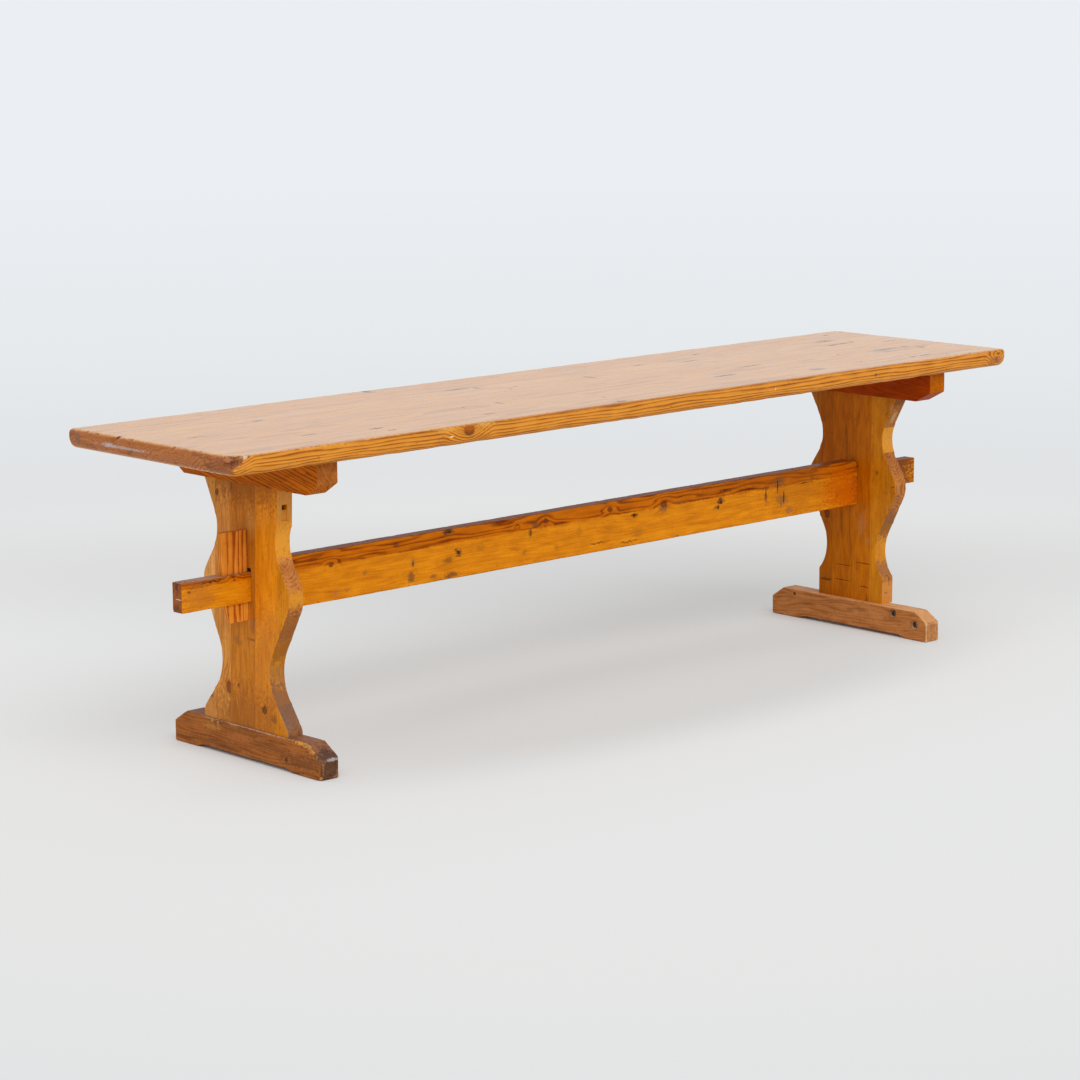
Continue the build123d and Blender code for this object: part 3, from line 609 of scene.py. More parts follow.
for side in ("left", "right"):
    low, high = limits(f"{side}_upright_stave_1")
    for number, (near, far) in enumerate(zip(STAVE_JOINTS[side], STAVE_JOINTS[side][1:]), 1):
        name = f"{side}_upright_stave_{number}"
        levels = stations(low[2], high[2], 3.0, MORTISE_LEVELS if number in (2, 3) else ())
        front, back = glue_line(side, near, levels), glue_line(side, far, levels)
        arrises = [SAWN_ARRIS, SAWN_ARRIS, 0.0, 0.0]
        if number == 1:
            sawn = sawn_edge(side, -1, levels)
            arrises[2] = np.clip(sawn - front, 0, SAWN_ARRIS)
            front = np.maximum(front, sawn)
        if number == 4:
            sawn = sawn_edge(side, 1, levels)
            arrises[3] = np.clip(back - sawn, 0, SAWN_ARRIS)
            back = np.minimum(back, sawn)
        in_mortise = (levels > MORTISE_LEVELS[0]) & (levels < MORTISE_LEVELS[1])
        if number == 2:
            back = np.where(in_mortise, -MORTISE_HALF_WIDTH, back)
        if number == 3:
            front = np.where(in_mortise, MORTISE_HALF_WIDTH, front)
        stave = timber(f"{name}_wood", "ZXY", levels, (low[0], high[0]), (front, back), arrises,
                       wear=(1.2, 1.6), seed=10 * number + len(side), step=4.0)
        if name == "left_upright_stave_1":
            middle_x = (low[0] + high[0]) / 2
            face = glue_line(side, near, SLOT_CUTS[0][0][0])
            carve(stave, [
                timber(f"slot_{place}", "ZXY", np.array(cut_levels),
                       (middle_x - SLOT_THICKNESS / 2, middle_x + SLOT_THICKNESS / 2),
                       (face - SLOT_THICKNESS, face + depth), (0, 0, 0, 0))
                for place, (cut_levels, depth) in enumerate(SLOT_CUTS)
            ])
        key = f"{side}_{number}"
        early, late, pith, ring, contrast = STAVE_TONES[key]
        pine = lacquered_pine(
            f"lacquered_pine_{key}", 2, pith, ring, early, late, contrast, knots=STAVE_KNOTS.get(key, ()),
            blotches=STAVE_STAINS_AND_SHADE.get(key, ()), cracks=STAVE_CRACKS.get(key, ()), dirt=UPRIGHT_DIRT,
            cracked=0.15, dirty=0.35,
            faces=[(TO_FRONT, "#DC9228", "#B26C1C", 0.8), (TO_BACK, "#C47E3C", "#9A5A2C", 0.7)])
        dress(stave, pine, "bench", name)


# ---- Ears and cheeks of the uprights ----
# What the saw left outside the outermost glue line: an ear at the foot, a cheek at the belly and an
# ear at the head, each of its own strip of pine. Three ears have broken off at the glue line. The saw
# cut across the rings here, so the edge faces are paler, show nested arcs, and hold more dirt low down.
EARS = {
    "left": ["front_foot_ear", "front_cheek", "back_foot_ear", "back_cheek", "back_head_ear"],
    "right": ["front_cheek", "front_head_ear", "back_cheek", "back_head_ear"],
}
EAR_TONES = {  # early and late wood, pith, ring width, contrast
    "left_front": ("#E2921E", "#BC6E10", (-589, -60, 0), 2.4, 0.6),
    "left_back": ("#FAB868", "#DC9850", (-610, 10, 0), 4.2, 0.55),
    "right_front": ("#D48A1C", "#AC6810", (604, -56, 0), 2.4, 0.6),
    "right_back": ("#B4701C", "#8E5010", (610, 10, 0), 3.4, 0.6),
}
SAWN_TONES = {  # early and late wood where the saw cut
    "left_front_foot_ear": ("#8E6848", "#5E4030"),
    "left_front_cheek": ("#C88248", "#86502C"),
    "right_front_cheek": ("#BE7A40", "#7C4A22"),
    # set darker as painted shade under the right bearer
    "right_front_head_ear": ("#BC7A38", "#8E5218"),
}
# stains on the ears, and one mark of painted shade
EAR_STAINS_AND_SHADE = {
    "left_front_foot_ear": [((-587, -70, 80), (90, 90, 36), "#7C5A48", 0.7, TO_FRONT),
                            ((-594, -82, 62), (8, 30, 12), "#7A5E50", 0.6, TO_FRONT),
                            ((-585, -95, 50), (14, 20, 4), "#A85C2C", 0.8, TO_FRONT)],
    "left_front_cheek": [((-587, -70, 184), (90, 90, 38), "#945820", 0.7, TO_FRONT),
                         ((-587, -90, 227), (30, 30, 13), "#DC9026", 0.85, TO_FRONT),
                         ((-587, -68, 282), (90, 90, 10), "#E89C48", 0.7, TO_FRONT)],
    "left_back_foot_ear": [((-599, 84, 62), (9, 90, 90), "#B87434", 0.7, TO_LEFT),
                           ((-599, 80, 76), (9, 4, 6), "#4A2C18", 0.7, None)],
    "left_back_head_ear": [((-599, 84, 352), (9, 90, 90), "#C08028", 0.7, TO_LEFT)],
    "right_front_cheek": [((607, -70, 174), (90, 90, 22), "#8A5A34", 0.8, TO_FRONT)],
    "right_front_head_ear": [((595, -78, 353), (6, 5, 7), "#C89A70", 0.6, TO_LEFT),
                             # painted shade under the right bearer at the top of the sawn edge
                             ((607, -84, 366), (90, 90, 14), "#7E4418", 0.8, TO_FRONT)],
}
for side, names in EARS.items():
    for part in names:
        name = f"{side}_upright_{part}"
        low, high = limits(name)
        end = -1 if part.startswith("front") else 1
        tried = np.linspace(low[2], high[2], 400)
        outermost = end * STAVE_JOINTS[side][-1]
        overhang = end * (sawn_edge(side, end, tried) - glue_line(side, outermost, tried))
        levels = stations(tried[overhang > 0][0], tried[overhang > 0][-1], 2.0)
        joint = glue_line(side, outermost, levels)
        sawn = sawn_edge(side, end, levels)
        y_limits = (sawn, joint) if end < 0 else (joint, sawn)
        arrises = (SAWN_ARRIS, SAWN_ARRIS, SAWN_ARRIS if end < 0 else 0, SAWN_ARRIS if end > 0 else 0)
        ear = timber(f"{name}_wood", "ZXY", levels, (low[0], high[0]), y_limits, arrises,
                     wear=(1.6, 1.8), seed=len(name), step=4.0)
        early, late, pith, ring, contrast = EAR_TONES[f"{side}_{part.split('_')[0]}"]
        key = f"{side}_{part}"
        sawn_tone = SAWN_TONES.get(key, ("#B97A44", "#8E5A30"))
        pine = lacquered_pine(
            f"sawn_pine_{key}", 2, pith, ring, early, late, contrast, wander=5.0, dirty=0.6, specks=0.9,
            blotches=EAR_STAINS_AND_SHADE.get(key, ()), dirt=UPRIGHT_DIRT,
            faces=[(TO_FRONT, *sawn_tone, 0.9), (TO_BACK, *sawn_tone, 0.9)],
            bare=("#CDB08A", 0.75) if key == "left_front_foot_ear" else ("#D9A566", 0.4))
        dress(ear, pine, "bench", name)


# ---- Feet ----
# Planed pine beams 44.5 mm high with bevelled ends, hollowed a little so that they stand on two pads.
# The left one is old, dark and chipped. The right one is a later piece, lighter and cleaner, screwed
# on through counterbored holes in its inner face, with one more hole bored and left empty.
FOOT_BEVELS = {"left": (28.0, 17.5), "right": (23.5, 15.5)}  # along the foot, down its end
FOOT_PADS = {"left": (60.0, 50.0), "right": (43.0, 57.5)}  # front and back
FOOT_HOLLOW = 4.0
HOLLOW_SLOPE = 14.0  # over which it rises from a pad
FOOT_ARRIS = 1.5
OLD_ENDS = (5.0, 4.0, 3.0, 2.0)  # the left foot's ends, worn round: outer, inner, lower and upper edge
LEFT_FOOT_CHIPS = [
    ((-602, -100, 44.5), 4, (1, 0, -1.2)), ((-602, -108, 44.5), 5, (1.4, 0, -1.6)),
    ((-602, -117, 44), 7.5, (1.6, 0, -2)), ((-602, -125, 41.5), 6, (1.6, 0, -1.6)),
    ((-602, -134, 35.5), 4.5, (1.6, 0, -1.2)), ((-602, -142, 30), 4.5, (1.4, 0, -1)),
    ((-602, 78, 42), 6, (1.2, 0, -0.6)), ((-602, 64, 40), 5, (1, 0, -0.4)),
    ((-602, -149, 3), 4, (1.4, 0.8, 0.8)),
]
FOOT_STAINS = {
    "left": [((-586, -150, 31), (30, 14, 9), "#503C36", 0.85, None),
             ((-602, -118, 17), (6, 46, 12), "#5A3A26", 0.5, TO_LEFT),
             ((-602, -40, 27), (6, 52, 7), "#643E24", 0.4, TO_LEFT),
             ((-602, 60, 12), (6, 70, 7), "#6A4226", 0.4, TO_LEFT),
             ((-602, 20, 38), (6, 60, 4), "#7A4A22", 0.5, None),
             ((-602, 78, 33), (6, 22, 5), "#C4843E", 0.6, None),
             ((-602, -111, 44), (5, 17, 3.4), "#DC963C", 0.8, None),
             ((-602, -132, 37), (4, 8, 4), "#D08C44", 0.7, None),
             ((-602, 20, 28), (6, 26, 6), "#B46A38", 0.5, None),
             ((-602, 105, 26), (6, 6, 10), "#B0602C", 0.6, None),
             ((-602, -80, 16), (6, 3, 4), "#3E2A18", 0.8, None),
             ((-602, 0, 44.5), (2.2, 96, 1.6), "#CDB6A4", 0.45, None),
             ((-586, -137, 36), (9, 6, 12), "#3E3432", 0.7, None),
             ((-583, -150.5, 25.5), (9, 3.5, 2.6), "#C6C0BE", 0.6, None)],
    "right": [((586, -30, 32), (6, 12, 4), "#7A5438", 0.5, None),
              ((586, -93.5, 36), (6, 8.5, 8.5), "#6A4630", 0.4, None),
              ((586, -136.5, 24), (6, 8, 8), "#6A4630", 0.35, None)],
}
FOOT_SCREWS = [(-93.5, 36.0), (-136.5, 24.0)]  # place along the foot and level
PILOT_HOLE = (111.0, 37.5)
SCREW_BORE = [(-2, 0), (-2, 6.5), (3, 6.5), (3, 5.05), (6, 2.55), (25.2, 2.55), (25.2, 0)]  # depth, radius
PILOT_BORE = [(-2, 0), (-2, 3), (14, 3), (14, 0)]


def bore(name, profile, centre, axis):
    """A turned cutter: a profile of (depth, radius) carried round an axis, with the circle of each
    profile point drawn through radius times the cosine and sine of the turn."""
    depth, radius = np.array(profile, float).T
    turn = np.linspace(0, 2 * math.pi, 49)
    directions = np.roll(np.eye(3), -"XYZ".index(axis), axis=0)
    points = depth[:, None, None] * directions[0]
    points = points + (radius[:, None] * np.cos(turn))[..., None] * directions[1]
    points = points + (radius[:, None] * np.sin(turn))[..., None] * directions[2]
    mesh = bpy.data.meshes.new(name)
    quads = grid_faces(np.arange(points.shape[0] * points.shape[1]).reshape(points.shape[:2]))
    mesh.from_pydata((points.reshape(-1, 3) + centre) * MM, [], quads)
    piece = stand(name, mesh)
    clean(piece)
    return piece


for side in ("left", "right"):
    name = f"{side}_foot"
    low, high = limits(name)
    along, down = FOOT_BEVELS[side]
    pads = (low[1] + FOOT_PADS[side][0], high[1] - FOOT_PADS[side][1])
    breaks = (low[1] + along, high[1] - along, pads[0], pads[1])
    y = stations(low[1], high[1], 3.0, breaks, (FOOT_ARRIS, OLD_ENDS[0]))
    top = np.interp(y, (low[1], low[1] + along, high[1] - along, high[1]),
                    (high[2] - down, high[2], high[2], high[2] - down))
    into = np.minimum(y - pads[0], pads[1] - y)
    hollow = np.where(into > 0, FOOT_HOLLOW * np.clip(into / HOLLOW_SLOPE, 0, 1) ** 0.7, 0.0)
    old = side == "left"
    foot = timber(f"{name}_wood", "YXZ", y, (low[0], high[0]), (hollow, top), [FOOT_ARRIS] * 4,
                  ends=OLD_ENDS if old else (FOOT_ARRIS,) * 4, wear=(1.6, 2.0) if old else (0.8, 1.5),
                  seed=61 if old else 67, step=3.0, chips=LEFT_FOOT_CHIPS if old else ())
    if old:
        pine = lacquered_pine(
            "worn_dark_pine_left_foot", 1, (-560.0, 0.0, 70.0), 3.2, "#B06C34", "#82481E", 0.7,
            faces=[(UP, "#8A6450", "#6E4C3A", 0.8)], end=("#5A4034", "#3E2C26"), bare=("#D0985C", 0.4),
            dirty=0.5, cracked=0.5, specks=0.9, roughness=0.5, blotches=FOOT_STAINS[side])
        dress(foot, pine, "bench", name)
    else:
        holes = [(SCREW_BORE, spot) for spot in FOOT_SCREWS] + [(PILOT_BORE, PILOT_HOLE)]
        carve(foot, [bore(f"hole_{place}", profile, (low[0], *spot), "X")
                     for place, (profile, spot) in enumerate(holes)])
        pine = lacquered_pine(
            "fresh_pine_right_foot", 1, (640.0, 0.0, 60.0), 3.0, "#C2824A", "#A06232", 0.7,
            faces=[(UP, "#D8A878", "#C08C5C", 0.85)], end=("#BC8452", "#A06C40"), bare=("#E0B888", 0.7),
            dirty=0.35, roughness=0.5, slope=(0.0, 0.0, 0.06), blotches=FOOT_STAINS[side])
        dress(foot, pine, "bench", name)


# ---- Bearers ----
# Short pine beams across the head of each upright, bevelled underneath at both ends. They lie in the
# shade of the seat and are the deepest in colour; the right one's tones are set darker still as painted
# shade. Each is screwed up into the seat through two counterbored holes in its underside.
BEARER_BEVELS = {"left": (24.5, 15.5), "right": (29.0, 15.0)}
BEARER_ARRIS = 1.5
BEARER_SCREW_REACH = 108.0  # either way from the bearer's middle
BEARER_BORE = [(-2, 0), (-2, 6), (12, 6), (12, 5.05), (15, 2.55), (46, 2.55), (46, 0)]
BEARER_TONES = {  # early and late wood, pith, slope of the grain, end grain
    "left": ("#CE7208", "#8A4200", (-500, 0, 480), (0, 0, -0.22), ("#B46C30", "#8A4A20")),
    # the right bearer's wood is set darker as painted shade of the seat above it
    "right": ("#A84200", "#8E3600", (650, 0, 470), (0, 0, -0.10), ("#BE6400", "#A65400")),
}
for side in ("left", "right"):
    name = f"{side}_bearer"
    low, high = limits(name)
    along, down = BEARER_BEVELS[side]
    y = stations(low[1], high[1], 4.0, (low[1] + along, high[1] - along), (BEARER_ARRIS,))
    bottom = np.interp(y, (low[1], low[1] + along, high[1] - along, high[1]),
                       (low[2] + down, low[2], low[2], low[2] + down))
    bearer = timber(f"{name}_wood", "YXZ", y, (low[0], high[0]), (bottom, high[2]), [BEARER_ARRIS] * 4,
                    ends=(BEARER_ARRIS,) * 4, wear=(0.7, 1.5), seed=71 + len(side), step=4.0)
    upright = limits(f"{side}_upright_stave_1")
    centre = np.array(((upright[0][0] + upright[1][0]) / 2, (low[1] + high[1]) / 2, low[2]))
    spots = [centre + (0, end * BEARER_SCREW_REACH, 0) for end in (-1, 1)]
    carve(bearer, [bore(f"counterbore_{place}", BEARER_BORE, spot, "Z") for place, spot in enumerate(spots)])
    early, late, pith, slope, end_tones = BEARER_TONES[side]
    pine = lacquered_pine(f"deep_lacquered_pine_{side}_bearer", 1, pith, 2.7, early, late, 0.9, slope=slope,
                          wander=6.0, gloss=0.03, end=end_tones, bare=("#B8864E", 0.35))
    dress(bearer, pine, "bench", name)


# ---- Stretcher rail ----
# One pine board on edge between the uprights, with a long tenon at each end that passes right through
# and is slotted for a wedge. Its upper third is darker heartwood with most of the knots. Feet have
# rubbed its top grey and bruised its face.
RAIL_SHOULDERS = (-574.35, 595.15)
RAIL_BODY = (196.0, 266.0)
RAIL_CORNER = 11.0  # of the board's upper corners, above the tenons
TENON_LEVELS = (214.5, 254.0)
TENON_END_ARRIS = 1.5
RAIL_ARRIS = 1.0
RAIL_FACE = -10  # Y of the front
MARK_DEPTH = 9  # half the depth of a mark, enough to take in a worn face
WEDGE_SLOT_HALF = 4.55
WEDGE_SLOTS = ((-637.5, -596.35), (617.15, 658.3))
SLOT_CUTTER = (150.0, 300.0)  # levels, well past the tenon
low, high = limits("stretcher_rail")
rounded = RAIL_CORNER * (1 - np.cos(np.linspace(0.05, 1.5, 9)))  # closer steps round the corners
x = stations(low[0], high[0], 5.0, RAIL_SHOULDERS, (TENON_END_ARRIS,))
x = np.unique(np.concatenate([x, RAIL_SHOULDERS[0] + rounded, RAIL_SHOULDERS[1] - rounded]).round(3))
into = np.minimum(x - RAIL_SHOULDERS[0], RAIL_SHOULDERS[1] - x)
top = np.where(into > 0, RAIL_BODY[1] - round_over(into, RAIL_CORNER), TENON_LEVELS[1])
bottom = np.where(into > 0, RAIL_BODY[0], TENON_LEVELS[0])
rail = timber("stretcher_rail_wood", "XYZ", x, (low[1], high[1]), (bottom, top), [RAIL_ARRIS] * 4,
              ends=(TENON_END_ARRIS,) * 4, wear=(0.9, 1.5), seed=83, step=4.0)
carve(rail, [
    timber(f"slot_{number}", "ZXY", np.array(SLOT_CUTTER), x_limits, (-WEDGE_SLOT_HALF, WEDGE_SLOT_HALF),
           [0] * 4)
    for number, x_limits in enumerate(WEDGE_SLOTS)
])
RAIL_KNOTS = [((-464, -10, 245), 3, 1, 1.5), ((-71, -10, 254), 3.6, 1, 1.2),
              ((56, -10, 255), 3.6, 1, 1.2), ((166, -10, 249), 5, 1, 1),
              ((-627, -10, 252.5), 2.6, 1, 1.5), ((-126, -10, 255), 1.6, 1, 3)]
RAIL_MARKS = [  # place along the rail, level, half length, half height, colour, strength
    (-254, 263, 13, 4.5, "#4A3424", 0.85), (-237, 231, 7, 6, "#5A3E24", 0.85),
    (-256, 223, 9, 5, "#7A5028", 0.65), (-324, 209, 7, 8, "#6B4A2C", 0.75),
    (-320, 228, 6, 7, "#A8703C", 0.55), (-250, 202, 15, 4, "#6A4228", 0.75),
    (-284, 204, 8, 3, "#7A5030", 0.6), (-350, 257, 7, 3.5, "#5E3A22", 0.65),
    (-196, 233, 10, 6, "#A8621C", 0.45), (-91, 251, 7, 6, "#6A442C", 0.7),
    (-102, 240, 3.5, 8, "#8A5420", 0.6), (-113, 216, 4.5, 5, "#965E20", 0.5),
    (-6, 230, 6, 8, "#B06E20", 0.4), (-51, 214, 6, 5, "#A8681E", 0.4),
    (-457, 206, 5, 3, "#A8705C", 0.6), (-437, 207, 6, 3, "#A06A30", 0.6),
    (-406, 226, 4, 3, "#9A642C", 0.6), (106, 240, 7, 4, "#3A2210", 0.85),
    (112, 214, 13, 10, "#AE6A1C", 0.45), (166, 243, 11, 6, "#7A4E32", 0.7),
    (198, 248, 16, 2, "#8A5430", 0.6), (287, 239, 8, 5, "#4E3420", 0.85),
    (278, 230, 7, 3, "#6A4628", 0.7), (380, 262, 180, 15, "#8A3E06", 0.32),
    (342, 268, 26, 3.5, "#5A3C28", 0.7), (386, 246, 7, 4, "#5A3A24", 0.7),
    (386, 231, 4, 9, "#7E5232", 0.6), (417, 252, 12, 9, "#6E5036", 0.7),
    (422, 224, 13, 9, "#7A5A3C", 0.65), (438, 206, 8, 7, "#8A6444", 0.6),
    (490, 251, 6, 9, "#7E4A1C", 0.55), (548, 216, 3, 5, "#5A4A20", 0.8),
    (570, 222, 62, 38, "#CC5800", 0.75), (460, 234, 80, 40, "#A25812", 0.3),
]
RAIL_STAINS = [
    *[((x, RAIL_FACE, z), (long, MARK_DEPTH, high), colour, strength, None)
      for x, z, long, high, colour, strength in RAIL_MARKS],
    ((-676, -10, 250), (34, 4, 3), "#8A4E26", 0.5, None),
    ((-650, 0, 254), (64, 30, 4), "#BA8C70", 0.8, UP),
    ((-684, -10, 234), (30, 4, 20), "#B8702C", 0.5, None),
    ((-626, -10, 232), (26, 4, 16), "#EE9A14", 0.4, None),
    ((-699, -10, 241), (3, 9, 2.5), "#6A3A18", 0.7, None),
    ((668, -10, 234), (74, 90, 90), "#82461E", 0.95, None),
    ((0, -12, 196), (640, 6, 1.8), "#7A4A1C", 0.5, TO_FRONT),
    ((-711, 0, 248), (6, 3.5, 5), "#4A2C28", 0.7, TO_LEFT),
    ((-711, -3, 232.5), (6, 6, 0.8), "#E2CFC8", 0.8, TO_LEFT),
    ((-711, 0, 220), (6, 9, 4), "#5E4034", 0.6, TO_LEFT),
]
RAIL_CRACKS = [  # place along the rail, level, half length, half height
    (-660, 250, 22, 0.9), (96, 203, 22, 0.8), (30, 209, 14, 0.7), (300, 255, 18, 1),
    (345, 249, 24, 0.8), (470, 244, 22, 0.8), (386, 236, 1.6, 9), (412, 246, 1.4, 12),
    (426, 228, 1.6, 12), (288, 236, 3, 3), (282, 229, 2.4, 2.6), (104, 240, 4, 1.6),
    (-320, 226, 1.4, 6), (-237, 232, 3, 2.4), (-256, 262, 6, 1.4), (-100, 241, 1.4, 5),
]
pine = lacquered_pine(
    "lacquered_pine_rail", 0, (0.0, 60.0, 300.0), 3.4, "#E99314", "#D8800C", 0.75, wander=14.0,
    knots=RAIL_KNOTS, blotches=RAIL_STAINS, band=(245.5, 1.2, "#D67602", "#803400"),
    cracks=[((x, RAIL_FACE, z), (long, MARK_DEPTH, high)) for x, z, long, high in RAIL_CRACKS],
    faces=[(UP, "#8A5A38", "#6A4228", 0.85)], end=("#9A5836", "#6E3A22"), bare=("#6A4028", 0.45),
    roughness=0.36, gloss=0.04, dirt="#8A5222", specks=0.8)
dress(rail, pine, "bench", "stretcher_rail")


# ---- Wedges ----
# Flat pine wedges knocked down through the tenons. They bear on the outside of the uprights and pull
# the rail tight. Their grain runs upright in strong stripes, and their tops are pale end grain.
WEDGE_LEVELS = (189.0, 212.0, 275.0, 310.0)
WEDGE_WIDTHS = (30.0, 37.0, 43.0, 43.0)
WEDGE_ARRIS = 0.8
for side, sign in (("left", -1), ("right", 1)):
    name = f"{side}_wedge"
    low, high = limits(name)
    z = stations(low[2], high[2], 4.0, WEDGE_LEVELS[1:3], (WEDGE_ARRIS,))
    width = np.interp(z, WEDGE_LEVELS, WEDGE_WIDTHS)
    x_limits = (high[0] - width, high[0]) if sign < 0 else (low[0], low[0] + width)
    wedge = timber(f"{name}_wood", "ZYX", z, (low[1], high[1]), x_limits, [WEDGE_ARRIS] * 4,
                   ends=(WEDGE_ARRIS,) * 4, wear=(0.8, 1.3), seed=91 + len(side), step=3.0)
    pine = lacquered_pine(f"striped_pine_{side}_wedge", 2, (sign * 655.0, 70.0, 0.0), 4.2, "#F09C38",
                          "#B45810", 1.0, wander=8.0, roughness=0.36, end=("#D8A878", "#B87C4C"),
                          bare=("#C88444", 0.4), dirty=0.15)
    dress(wedge, pine, name, name)


# ---- Seat ----
# Four pine boards glued edge to edge, worn pale on top, with rounded edges. The lacquer is thin and
# satin, so at a low angle the top mirrors the pale room. The ends are chipped along the top arris, and
# the front left corner has lost a splinter.
SEAT_CORNERS = (4.0, 2.0)  # in front and behind
SEAT_TOP_ARRIS = 4.0
SEAT_BOTTOM_ARRIS = 9.0
SEAT_END_ARRISES = (11.0, 6.0)  # underneath and on top
SEAT_TOP = 440
TOP_DEPTH = 6  # half the depth of the marks and cracks on the top
CHIPPED_ENDS = (36.0, 24.0)  # lengths at the left and right end that have finer steps
CHIPPED_STEP = 2.0
BOARD_TONES = [  # early and late wood, pith, ring width, early and late wood on top
    ("#E09434", "#9A5216", (0, -150, 340), 3.9, ("#DCA568", "#C68D56")),
    ("#DC9244", "#BC783A", (0, -60, 300), 3.6, ("#DBA262", "#C28850")),
    ("#DC9248", "#BC7A40", (0, 70, 330), 3.8, ("#DDA666", "#C88E54")),
    ("#DC9040", "#B87438", (0, 150, 320), 3.4, ("#D9A060", "#C2864C")),
]
SEAT_KNOTS = [((-361, -173, 432), 7, None, 2.4), ((732, -173, 425), 5, 1, 2.6),
              ((-752, -171, 435), 6, None, 2.4),
              ((-538, 48, 440), 3.5, 2, 2), ((-254, 159.5, 440), 4.5, 2, 1.5)]
TOP_MARKS = [  # place along and across the seat, half length, half width, colour, strength
    (-149, 88.5, 30, 8, "#8A6450", 0.6), (-116, 74, 8, 9, "#7A5038", 0.4),
    (364, -127, 16, 8, "#6E5A62", 0.7), (222, -80, 24, 6, "#6A4428", 0.5),
    (300, 90, 40, 14, "#8A7450", 0.4), (594, -60, 26, 14, "#84745A", 0.5),
    (610, -48, 46, 6, "#6A4830", 0.5), (371, -132, 12, 5, "#6E7058", 0.6),
    (630, 95, 14, 10, "#5E4C3A", 0.5), (-538, 48, 15, 5, "#5C4C50", 0.7),
    (-254, 160, 9, 14, "#6A4230", 0.7),
]
SEAT_STAINS = [
    ((-750, -146, 425), (12, 34, 12), "#7A4428", 0.45, TO_LEFT),
    ((0, -171.5, 438.5), (760, 3, 2), "#9C5C1C", 0.5, None),
    ((-361, -173, 436), (12, 6, 6), "#B5601A", 0.7, TO_FRONT),
    ((-332, -173, 436), (16, 6, 4), "#E0A850", 0.6, TO_FRONT),
    ((-398, -173, 436), (20, 6, 4), "#DFA44A", 0.55, TO_FRONT),
    ((-392, -173, 426.5), (4, 6, 1.2), "#F2DCA8", 0.8, TO_FRONT),
    ((228, -173, 428.5), (1.2, 6, 3), "#E8C890", 0.8, TO_FRONT),
    ((446, -173, 428), (2, 6, 3), "#4A4238", 0.85, TO_FRONT),
    ((735, -173, 425), (6, 9, 6), "#C8845C", 0.6, None),
    ((720, -173, 424), (12, 9, 6), "#9A5A34", 0.6, None),
    *[((x, y, SEAT_TOP), (long, wide, TOP_DEPTH), colour, strength, UP)
      for x, y, long, wide, colour, strength in TOP_MARKS],
    ((-750, 50, 427), (8, 56, 1.8), "#C4BAB8", 0.6, TO_LEFT),
    ((-750, 84, 427.5), (8, 16, 3.2), "#C0BEC6", 0.6, TO_LEFT),
    ((-748, 40, 436.5), (6, 170, 3), "#A85E1C", 0.55, None),
    ((-750, 152, 428), (8, 7, 9), "#705A58", 0.6, TO_LEFT),
    ((-746, -166, 434), (10, 15, 7), "#54301F", 0.85, None),
    ((-748, -160, 435), (9, 7, 3), "#B8704C", 0.85, None),
    ((-731, -173, 438), (9, 5, 2.6), "#DCC8AC", 0.6, None),
    ((-750, 172, 434), (14, 16, 6), "#6A4A3A", 0.5, None),
]
SEAT_CRACKS = [  # place along and across the seat, half length, half width
    (616, 48, 36, 3), (596, 45, 9, 2.6), (650, 52, 4, 6), (618, -43, 30, 2.6), (662, -45, 3, 9),
    (680, -61, 16, 3), (672, -72, 10, 2.6), (576, -134, 10, 3), (604, -135, 20, 2.8),
    (222, -81, 26, 2.4), (324, -33, 32, 2.6), (304, 72, 22, 2.6), (623, 85, 30, 3.2),
    (-470, -115, 14, 3), (-465, -140, 8, 2.2), (-279, -122, 15, 2.2), (-149, 87, 24, 2.2),
    (-121, 79, 3, 9), (71, 46, 2.4, 20), (215, 92, 12, 2.4), (-567, -95, 16, 2), (-680, -8, 20, 2),
    (-200, -55, 2.4, 13), (-74, -163, 15, 4), (-254, 165, 4, 9), (-744, 68.5, 11, 2.4),
    (366, 120, 12, 2.4), (515, -38, 3, 3), (595, -68, 3, 3), (477, -118, 3, 3), (687, 139, 9, 3.4),
    (736, 151, 6, 3), (741, 57, 4, 3), (634, -154, 3, 3), (673, -165, 3, 3), (-93, 39, 4, 2.4),
    (-70, 53, 5, 2), (-264, -53, 3, 2.4), (-61, -117, 3, 2.4), (700, 20, 18, 2.4),
]
SEAT_CHIPS = [
    ((-750, -172, 441), 17, (4.5, 3.5, -3)), ((-738, -173, 438), 7, (0.6, 1.6, -1.4)),
    ((-724, -173, 439.5), 4, (0, 1, -0.8)), ((-747, -104, 438), 3.5, (1, 0, -0.8)),
    ((-747, -52, 438), 4, (1, 0, -0.8)), ((-747, 38, 438), 3.5, (1, 0, -0.8)),
    ((-747, 66, 438), 4.5, (1.4, 0, -1)), ((-747, 112, 438), 4, (1.2, 0, -0.8)),
    ((-747, 136, 438), 4, (1.2, 0, -0.8)), ((748, 60, 438), 5, (-1.5, 0, -1)),
    ((748, -40, 438), 6, (-1.6, 0, -1.2)), ((746, 168, 438), 6, (-1.2, -1, -1.2)),
    ((-91, -173, 440), 3.5, (0, 0.9, -0.7)), ((40, -173, 438), 3, (0, 0.9, -0.4)),
]
